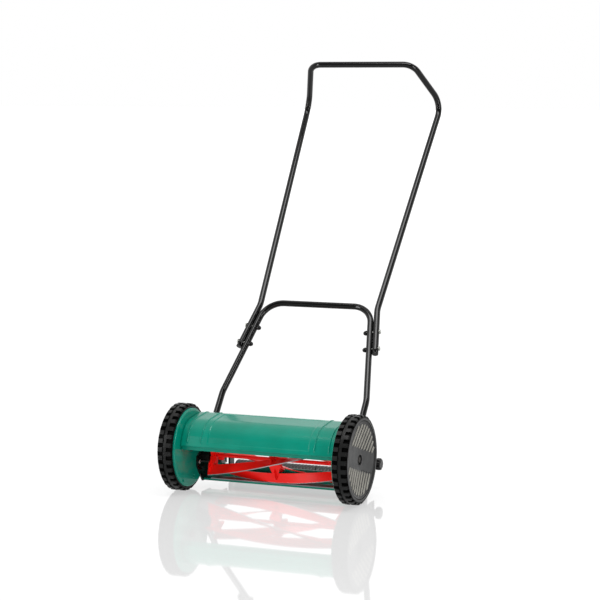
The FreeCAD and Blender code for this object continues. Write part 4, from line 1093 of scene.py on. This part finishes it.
class Chassis:
    """Side plates, cover, bed and the fixed fittings between the wheels."""

    PLAIN = (
        ("bed_bar", "green_enamel", 0.5),
        ("bed_knife", "knife_steel", 0.25),
        ("bed_screws", "zinc_steel", 0.25),
        ("left_bearing_housing", "black_plastic", 0.5),
        ("right_bearing_housing", "black_plastic", 0.5),
        ("left_reel_bearing", "zinc_steel", 0.2),
        ("right_reel_bearing", "zinc_steel", 0.2),
        ("left_rear_bracket", "black_powder_coat", 0.5),
        ("right_rear_bracket", "black_powder_coat", 0.5),
        ("bracket_bolts", "zinc_steel", 0.25),
        ("handle_pivot_bolts", "zinc_steel", 0.25),
        ("handle_stop_pins", "zinc_steel", 0.25),
    )

    def build(self) -> None:
        """Builds the cover and plates and dresses the rest."""
        Cover().build()
        for side in Side:
            SidePlate(side).build()
        for node, slot, edge in self.PLAIN:
            dress_node(node, "chassis", slot, edge)
        # The axles and clips keep their zinc_steel slot but take the darker axle finish as painted
        # shade in the hub holes.
        for node in ("left_wheel_axle", "right_wheel_axle", "axle_clips"):
            dress_node(node, "chassis", "zinc_steel", 0.2, SHADED_AXLE_STEEL)


# ------------------------------------------------------------------ reel


@dataclass(frozen=True)
class Reel:
    """Cutting reel: helical blades on pressed spiders and a through shaft.

    Attributes:
        blades: Number of blades.
        radius: Radius of the cutting edges.
        width: Width of a blade's strip.
        thickness: Thickness of the strip.
        tilt: Lean of the strip from the radius, in degrees.
        twist: Angle that a blade turns through from end to end, in degrees.
        start: Angle of the first blade at the right-hand end, in degrees.
        soft: Size of the softened edges.
        ground: Width of the bare strip along the cutting edge.
    """

    blades: int = 5
    radius: float = 60.0 * MM
    width: float = 26.0 * MM
    thickness: float = 2.4 * MM
    tilt: float = 20.0
    twist: float = 96.0
    start: float = 235.0
    soft: float = 0.3 * MM
    ground: float = 0.8 * MM

    def section(self) -> tuple:
        """Outline of a blade at angle zero, and how much of each point is ground bare.

        Returns:
            Rows of radial and tangential distance, and a number from 0 to 1 for each row.
        """
        tilt = math.radians(self.tilt)
        land = self.thickness / self.radius
        deep = self.radius - self.width * math.cos(tilt)
        low = -self.width * math.sin(tilt)
        inward = np.array([-math.cos(tilt), -math.sin(tilt)])
        edge = np.array([self.radius, 0.0])
        heel = np.array([self.radius * math.cos(land), -self.radius * math.sin(land)])
        toe = np.array([deep, low])
        back = np.array([deep - self.radius * (1.0 - math.cos(land)), low - self.thickness])
        wide = np.array([0.0, -1.0])
        ground = self.ground
        outline = [
            (edge, 1.0), (edge + inward * ground * 0.6, 1.0), (edge + inward * ground, 0.3),
            (edge + inward * ground * 1.5, 0.0),
            (toe - inward * self.soft, 0.0), (toe + wide * self.soft, 0.0),
            (back - wide * self.soft, 0.0), (back - inward * self.soft, 0.0),
            (heel + inward * self.soft * 2.0, 0.0), (heel + inward * self.soft, 0.8),
            (heel, 1.0),
        ]
        return np.array([place for place, _ in outline]), np.array([bare for _, bare in outline])

    def build(self) -> None:
        """Builds the blades and dresses the spiders, shaft and pinions."""
        for number in range(self.blades):
            self.build_blade(number)
        for node in ("reel_spider_left", "reel_spider_centre", "reel_spider_right"):
            dress_node(node, "reel", "red_enamel", 0.3)
        dress_node("reel_shaft", "reel", "red_enamel", 0.3)
        for side in Side:
            dress_node(f"{side.word}_pinion", "reel", "gear_nylon", 0.0)
        dress_node("pinion_pawls", "reel", "zinc_steel", 0.15)
        dress_node("pinion_clips", "reel", "zinc_steel", 0.15)

    def build_blade(self, number: int) -> None:
        """One helical blade.

        The section turns by an angle that falls evenly from end to end: a point (p, q) of it goes
        to (x, y0 + p cos a - q sin a, z0 + p sin a + q cos a).

        Args:
            number: Which blade, counted from the one at the start angle.
        """
        node = f"reel_blade_{number + 1}"
        low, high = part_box(node)
        centre = centre_of("reel_shaft")
        outline, ground = self.section()
        share = np.linspace(0.0, 1.0, 90)[:, None]
        turned = np.radians(self.start + number * 360.0 / self.blades - self.twist * share)
        along = low.x + (high.x - low.x) * share
        points = np.stack([
            np.broadcast_to(along, (len(share), len(outline))),
            centre[0] + outline[:, 0] * np.cos(turned) - outline[:, 1] * np.sin(turned),
            centre[1] + outline[:, 0] * np.sin(turned) + outline[:, 1] * np.cos(turned),
        ], axis=-1)
        made = build_mesh(f"helical_blade_{number + 1}", points,
                          capped_faces(len(share), len(outline)), 35.0)
        mark_points(made, "ground", np.tile(ground, len(share)))
        place_piece(made, "reel", "red_enamel", node)


# ------------------------------------------------------------------ roller and height knobs


@dataclass(frozen=True)
class RollerUnit:
    """Ribbed rear roller in its holders, clamped by two lobed knobs.

    Attributes:
        segments: Number of roller segments.
        rib_pitch: Distance between the roller's ribs.
        groove: Depth of the grooves between them.
        lobes: Number of lobes on a knob.
        lobe_depth: Depth of the hollows between lobes.
        barrel_wall: Wall of a roller segment.
        hub: Radius of its hub.
        bore: Radius of its bore.
        stem: Radius of a knob's stem.
        stem_bore: Radius of the hole in it.
        stem_share: Share of a knob's length that is stem.
    """

    segments: int = 3
    rib_pitch: float = 9.7 * MM
    groove: float = 1.1 * MM
    lobes: int = 9
    lobe_depth: float = 2.2 * MM
    barrel_wall: float = 5.0 * MM
    hub: float = 9.0 * MM
    bore: float = 5.05 * MM
    stem: float = 9.0 * MM
    stem_bore: float = 4.05 * MM
    stem_share: float = 0.43

    def build(self) -> None:
        """Builds rollers and knobs and dresses the holders and bolts."""
        for number in range(self.segments):
            self.build_segment(f"roller_{number + 1}")
        dress_node("roller_axle", "roller_carriage", "zinc_steel", 0.3)
        for side in Side:
            dress_node(f"{side.word}_roller_holder", "roller_carriage", "black_plastic", 0.6)
            dress_node(f"{side.word}_height_bolt", "roller_carriage", "zinc_steel", 0.25)
            self.build_knob(side)

    def build_segment(self, node: str) -> None:
        """Roller segment whose radius dips in a rounded groove between ribs.

        The radius at x is the full radius less the groove depth times the eighth power of the
        cosine of pi x / pitch, so that ribs are wide and grooves narrow.

        Args:
            node: CAD node to stand in for.
        """
        low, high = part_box(node)
        full = radius_of(node)
        along = np.linspace(low.x + 1.0 * MM, high.x - 1.0 * MM, 150)
        wave = np.cos(math.pi * (along - low.x) / self.rib_pitch) ** 8
        barrel = np.stack([along, full - self.groove * wave], axis=-1)
        wall = full - self.barrel_wall
        hub, bore = self.hub, self.bore
        profile = np.concatenate([
            [[low.x, full - 1.6 * MM]], barrel, [[high.x, full - 1.6 * MM]],
            [[high.x, wall], [high.x - 4.0 * MM, wall - 0.4 * MM], [high.x - 4.0 * MM, hub],
             [high.x, hub], [high.x, bore], [low.x, bore], [low.x, hub],
             [low.x + 4.0 * MM, hub], [low.x + 4.0 * MM, wall - 0.4 * MM], [low.x, wall]],
        ])
        made = revolve(node + "_ribbed", profile, centre_of(node), 1, 72, 45.0)
        place_piece(made, "rear_roller", "roller_plastic", node)

    def build_knob(self, side: Side) -> None:
        """Domed knob whose radius dips between lobes.

        The radius at angle a is the profile's radius less lobe depth times
        (1 - |cos(n a / 2)|) times how far out the profile is.

        Args:
            side: Which side the knob is on.
        """
        node = f"{side.word}_height_knob"
        inner, outer = reach_of(node)
        full = radius_of(node)
        centre = centre_of(node)
        stem, bore = self.stem, self.stem_bore
        grip_start = inner + (outer - inner) * self.stem_share
        profile = np.array([
            [inner, bore], [inner, stem - 0.6 * MM], [inner + 0.6 * MM, stem],
            [grip_start - 1.5 * MM, stem], [grip_start, stem + 1.0 * MM],
            [grip_start + 0.3 * MM, full - 1.2 * MM], [grip_start + 1.6 * MM, full],
            [outer - 4.0 * MM, full], [outer - 2.0 * MM, full - 0.9 * MM],
            [outer - 0.8 * MM, full - 2.8 * MM], [outer - 0.3 * MM, full - 5.5 * MM],
            [outer - 0.8 * MM, full - 7.0 * MM], [outer, 3.0 * MM], [outer, 0.0],
            [inner + 2.0 * MM, 0.0], [inner + 2.0 * MM, bore],
        ])
        steps = 144
        angle = np.linspace(0.0, TURN, steps, endpoint=False)[:, None]
        dip = (1.0 - np.abs(np.cos(self.lobes * angle / 2.0))) * self.lobe_depth
        share = smooth_step(profile[:, 1], stem, full - 1.0 * MM)
        radius = profile[:, 1] - dip * share
        points = round_axis(side.value * profile[:, 0], radius, angle, centre)
        faces = ring_faces(steps, len(profile), True, True).tolist()
        made = build_mesh(f"{side.word}_lobed_knob", points, faces, 32.0)
        place_piece(made, f"{side.word}_knob", "black_plastic", node)


# ------------------------------------------------------------------ handle


@dataclass(frozen=True)
class Handle:
    """Lower and upper bent tubes, bolted together side by side.

    Attributes:
        tube: Radius of both tubes.
        gap: Gap between the paired tubes.
        tilt: Lean of the handle back from upright, in degrees.
        foot_x: Distance of the legs' feet from the middle.
        tail: Length of the legs below the pivot.
        knee: Height along the legs where they start to close in.
        knee_bend: Radius of that bend.
        crossbar_rise: Height along the legs of the lower crossbar.
        crossbar_x: Distance of its corners from the middle.
        crossbar_bend: Radius of its corners.
        upper_start: Height along the legs where the upper tube starts.
        upper_kink: Height along the legs where it turns.
        kink_bend: Radius of that turn.
        top_x: Distance of the upper tube's top bend from the middle.
        top: Height of the top bend along the legs.
        top_bend: Radius of the top bend.
        grip: X, Y and Z of the corner of the grip.
        grip_bend: Radius of the grip's corners.
        tube_step: Longest gap between the rings of a tube.
    """

    tube: float = 8.5 * MM
    gap: float = 0.3 * MM
    tilt: float = 39.0
    foot_x: float = 206.0 * MM
    tail: float = 11.0 * MM
    knee: float = 150.0 * MM
    knee_bend: float = 110.0 * MM
    crossbar_rise: float = 439.0 * MM
    crossbar_x: float = 152.0 * MM
    crossbar_bend: float = 60.0 * MM
    upper_start: float = 295.0 * MM
    upper_kink: float = 432.0 * MM
    kink_bend: float = 90.0 * MM
    top_x: float = 203.5 * MM
    top: float = 1133.0 * MM
    top_bend: float = 48.0 * MM
    grip: tuple = (153.7 * MM, 686.0 * MM, 1112.0 * MM)
    grip_bend: float = 40.0 * MM
    tube_step: float = 12.0 * MM

    def on_handle(self, across: float, along: float) -> np.ndarray:
        """A point in the plane of the legs, measured up from the hinge."""
        lean = math.radians(self.tilt)
        base_y, base_z = centre_of("handle_pivot_bolts")
        return np.array([across, base_y + along * math.sin(lean), base_z + along * math.cos(lean)])

    def upper_x(self, along: float) -> float:
        """Distance from the middle of the upper tube where it runs beside the lower one."""
        slope = (self.crossbar_x - self.foot_x) / (self.crossbar_rise - self.knee)
        beside = (2.0 * self.tube + self.gap) * math.hypot(1.0, slope)
        return self.foot_x + slope * (along - self.knee) + beside

    def level(self) -> np.ndarray:
        """Direction square to the plane of the legs."""
        lean = math.radians(self.tilt)
        return np.array([0.0, math.cos(lean), -math.sin(lean)])

    def bend_tube(self, name: str, points: list, bends: list, node: str) -> None:
        """Sweeps a tube through points on the left and their mirror images on the right.

        Args:
            name: Name of the piece.
            points: Corner places on the left side, from the open end inwards.
            bends: Bend radius at each of them.
            node: CAD node that it stands for.
        """
        half = np.array(points)
        twin = half[::-1] * np.array([-1.0, 1.0, 1.0])
        line = rounded_line(np.concatenate([half, twin]), bends + bends[::-1])
        made = sweep_tube(name, spread_along(line, self.tube_step), self.tube, self.level())
        place_piece(made, "handle", "black_powder_coat", node)

    def build(self) -> None:
        """Bends both tubes and dresses the bolts, nuts and plugs."""
        self.bend_tube("bent_lower_tube", [
            self.on_handle(self.foot_x, -self.tail),
            self.on_handle(self.foot_x, self.knee),
            self.on_handle(self.crossbar_x, self.crossbar_rise),
        ], [0.0, self.knee_bend, self.crossbar_bend], "lower_handle")
        self.bend_tube("bent_upper_tube", [
            self.on_handle(self.upper_x(self.upper_start), self.upper_start),
            self.on_handle(self.upper_x(self.upper_kink), self.upper_kink),
            self.on_handle(self.top_x, self.top),
            np.array(self.grip),
        ], [0.0, self.kink_bend, self.top_bend, self.grip_bend], "upper_handle")
        dress_node("handle_joint_bolts", "handle", "zinc_steel", 0.3)
        dress_node("handle_dome_nuts", "handle", "black_plastic", 0.3)
        dress_node("tube_end_plugs", "handle", "black_plastic", 0.4)


# ------------------------------------------------------------------ studio


@dataclass(frozen=True)
class SoftBox:
    """A flat soft light that looks at a point.

    Attributes:
        name: Name of the light.
        place: Where it hangs, in metres.
        look_at: Point that it faces.
        size: Width and height in metres.
        power: Power in watts.
        mirrored: False when it shows in no reflection.
    """

    name: str
    place: tuple
    look_at: tuple
    size: tuple
    power: float
    mirrored: bool = True

    def build(self) -> None:
        """Hangs the light."""
        lamp = bpy.data.lights.new(self.name, "AREA")
        lamp.shape = "RECTANGLE"
        lamp.size, lamp.size_y = self.size
        lamp.energy = self.power
        made = bpy.data.objects.new(self.name, lamp)
        made.location = self.place
        made.rotation_euler = facing(self.place, self.look_at)
        made.visible_camera = False
        made.visible_glossy = self.mirrored
        bpy.context.scene.collection.objects.link(made)


def facing(place: tuple, look_at: tuple) -> Euler:
    """Turn of a lamp or camera at one point that looks at another, upright."""
    return (Vector(look_at) - Vector(place)).to_track_quat("-Z", "Y").to_euler()


@dataclass(frozen=True)
class Studio:
    """White studio: glossy floor, white surround, soft boxes and the camera.

    Attributes:
        azimuth: Turn of the camera from straight ahead of the mower towards its left, in degrees.
        elevation: Height of the camera above level, in degrees.
        distance: Distance from the camera to its aim.
        aim: Aim as shares of the mower's box along each axis.
        lens: Focal length in mm.
        floor_half: Half the side of the floor.
        surround: Strength of the white surround as the camera sees it.
        fill: Strength of its light from behind the mower.
        room: Strength of the dim room behind the camera.
    """

    azimuth: float = 22.13
    elevation: float = 6.38
    distance: float = 5.272
    aim: tuple = (0.5, 0.375, 0.4354)
    lens: float = 119.0
    floor_half: float = 60.0
    surround: float = 1.0
    fill: float = 1.0
    room: float = 0.15

    def build(self) -> None:
        """Builds floor, surround, lights and camera."""
        self.build_floor()
        self.build_surround()
        for box in (
            SoftBox("top_box", (0.3, -0.5, 3.0), (0.0, 0.1, 0.3), (2.4, 1.0), 52.0),
            SoftBox("left_strip", (3.0, -1.2, 1.5), (0.1, 0.1, 0.4), (0.35, 2.4), 42.0),
            SoftBox("right_strip", (-2.4, -3.0, 1.3), (0.0, 0.1, 0.3), (0.4, 2.4), 48.0),
            SoftBox("low_front", (0.9, -2.6, 0.35), (0.0, 0.0, 0.1), (1.6, 0.5), 20.0, False),
        ):
            box.build()
        self.build_camera()
        bpy.context.scene.view_settings.view_transform = "Standard"

    def build_floor(self) -> None:
        """White acrylic floor with a faint clear reflection."""
        half = self.floor_half
        corners = np.array([[-half, -half, 0.0], [half, -half, 0.0], [half, half, 0.0],
                            [-half, half, 0.0]])
        floor = build_mesh("studio_floor", corners, [[0, 1, 2, 3]])
        PAINT.coat(floor, FLOOR_ACRYLIC)

    def build_surround(self) -> None:
        """Even white surround, dimmer on the mower than to the camera."""
        world = bpy.data.worlds.new("white_surround")
        bpy.context.scene.world = world
        world.use_nodes = True
        tree = world.node_tree
        tree.nodes.clear()
        turn = math.radians(self.azimuth)
        way = add_node(tree, "ShaderNodeTexCoord").outputs["Generated"]
        behind = add_node(tree, "ShaderNodeVectorMath", {
            0: way, 1: (-math.sin(turn), math.cos(turn), 0.0)}, operation="DOT_PRODUCT")
        light = add_node(tree, "ShaderNodeMapRange", {
            "Value": behind.outputs["Value"], "From Min": -0.5, "From Max": 0.2,
            "To Min": self.room, "To Max": self.fill})
        seen = add_node(tree, "ShaderNodeLightPath").outputs["Is Camera Ray"]
        strength = add_node(tree, "ShaderNodeMapRange", {
            "Value": seen, "To Min": light.outputs["Result"], "To Max": self.surround})
        back = add_node(tree, "ShaderNodeBackground", {
            "Color": (1.0, 1.0, 1.0, 1.0), "Strength": strength.outputs["Result"]})
        add_node(tree, "ShaderNodeOutputWorld", {"Surface": back.outputs["Background"]})

    def build_camera(self) -> None:
        """Long-lens camera low in front of the mower's left corner."""
        low, high = CAD_BOX
        aim = tuple(a + (b - a) * share for a, b, share in zip(low, high, self.aim))
        turn, rise = math.radians(self.azimuth), math.radians(self.elevation)
        place = (
            aim[0] + self.distance * math.cos(rise) * math.sin(turn),
            aim[1] - self.distance * math.cos(rise) * math.cos(turn),
            aim[2] + self.distance * math.sin(rise),
        )
        lens = bpy.data.cameras.new("studio_camera")
        lens.lens = self.lens
        lens.sensor_width = 36.0
        camera = bpy.data.objects.new("studio_camera", lens)
        camera.location = place
        camera.rotation_euler = facing(place, aim)
        bpy.context.scene.collection.objects.link(camera)
        bpy.context.scene.camera = camera


def main() -> None:
    """Builds the mower's sub-assemblies in order, then the studio."""
    logging.basicConfig(level=logging.INFO, format="%(message)s")
    for side in Side:
        Wheel(side).build()
        LOG.info("%s wheel built", side.word)
    Chassis().build()
    LOG.info("chassis built")
    Reel().build()
    LOG.info("reel built")
    RollerUnit().build()
    LOG.info("roller unit built")
    Handle().build()
    LOG.info("handle built")
    Studio().build()
    LOG.info("sizes written")


if __name__ == "__main__":
    main()
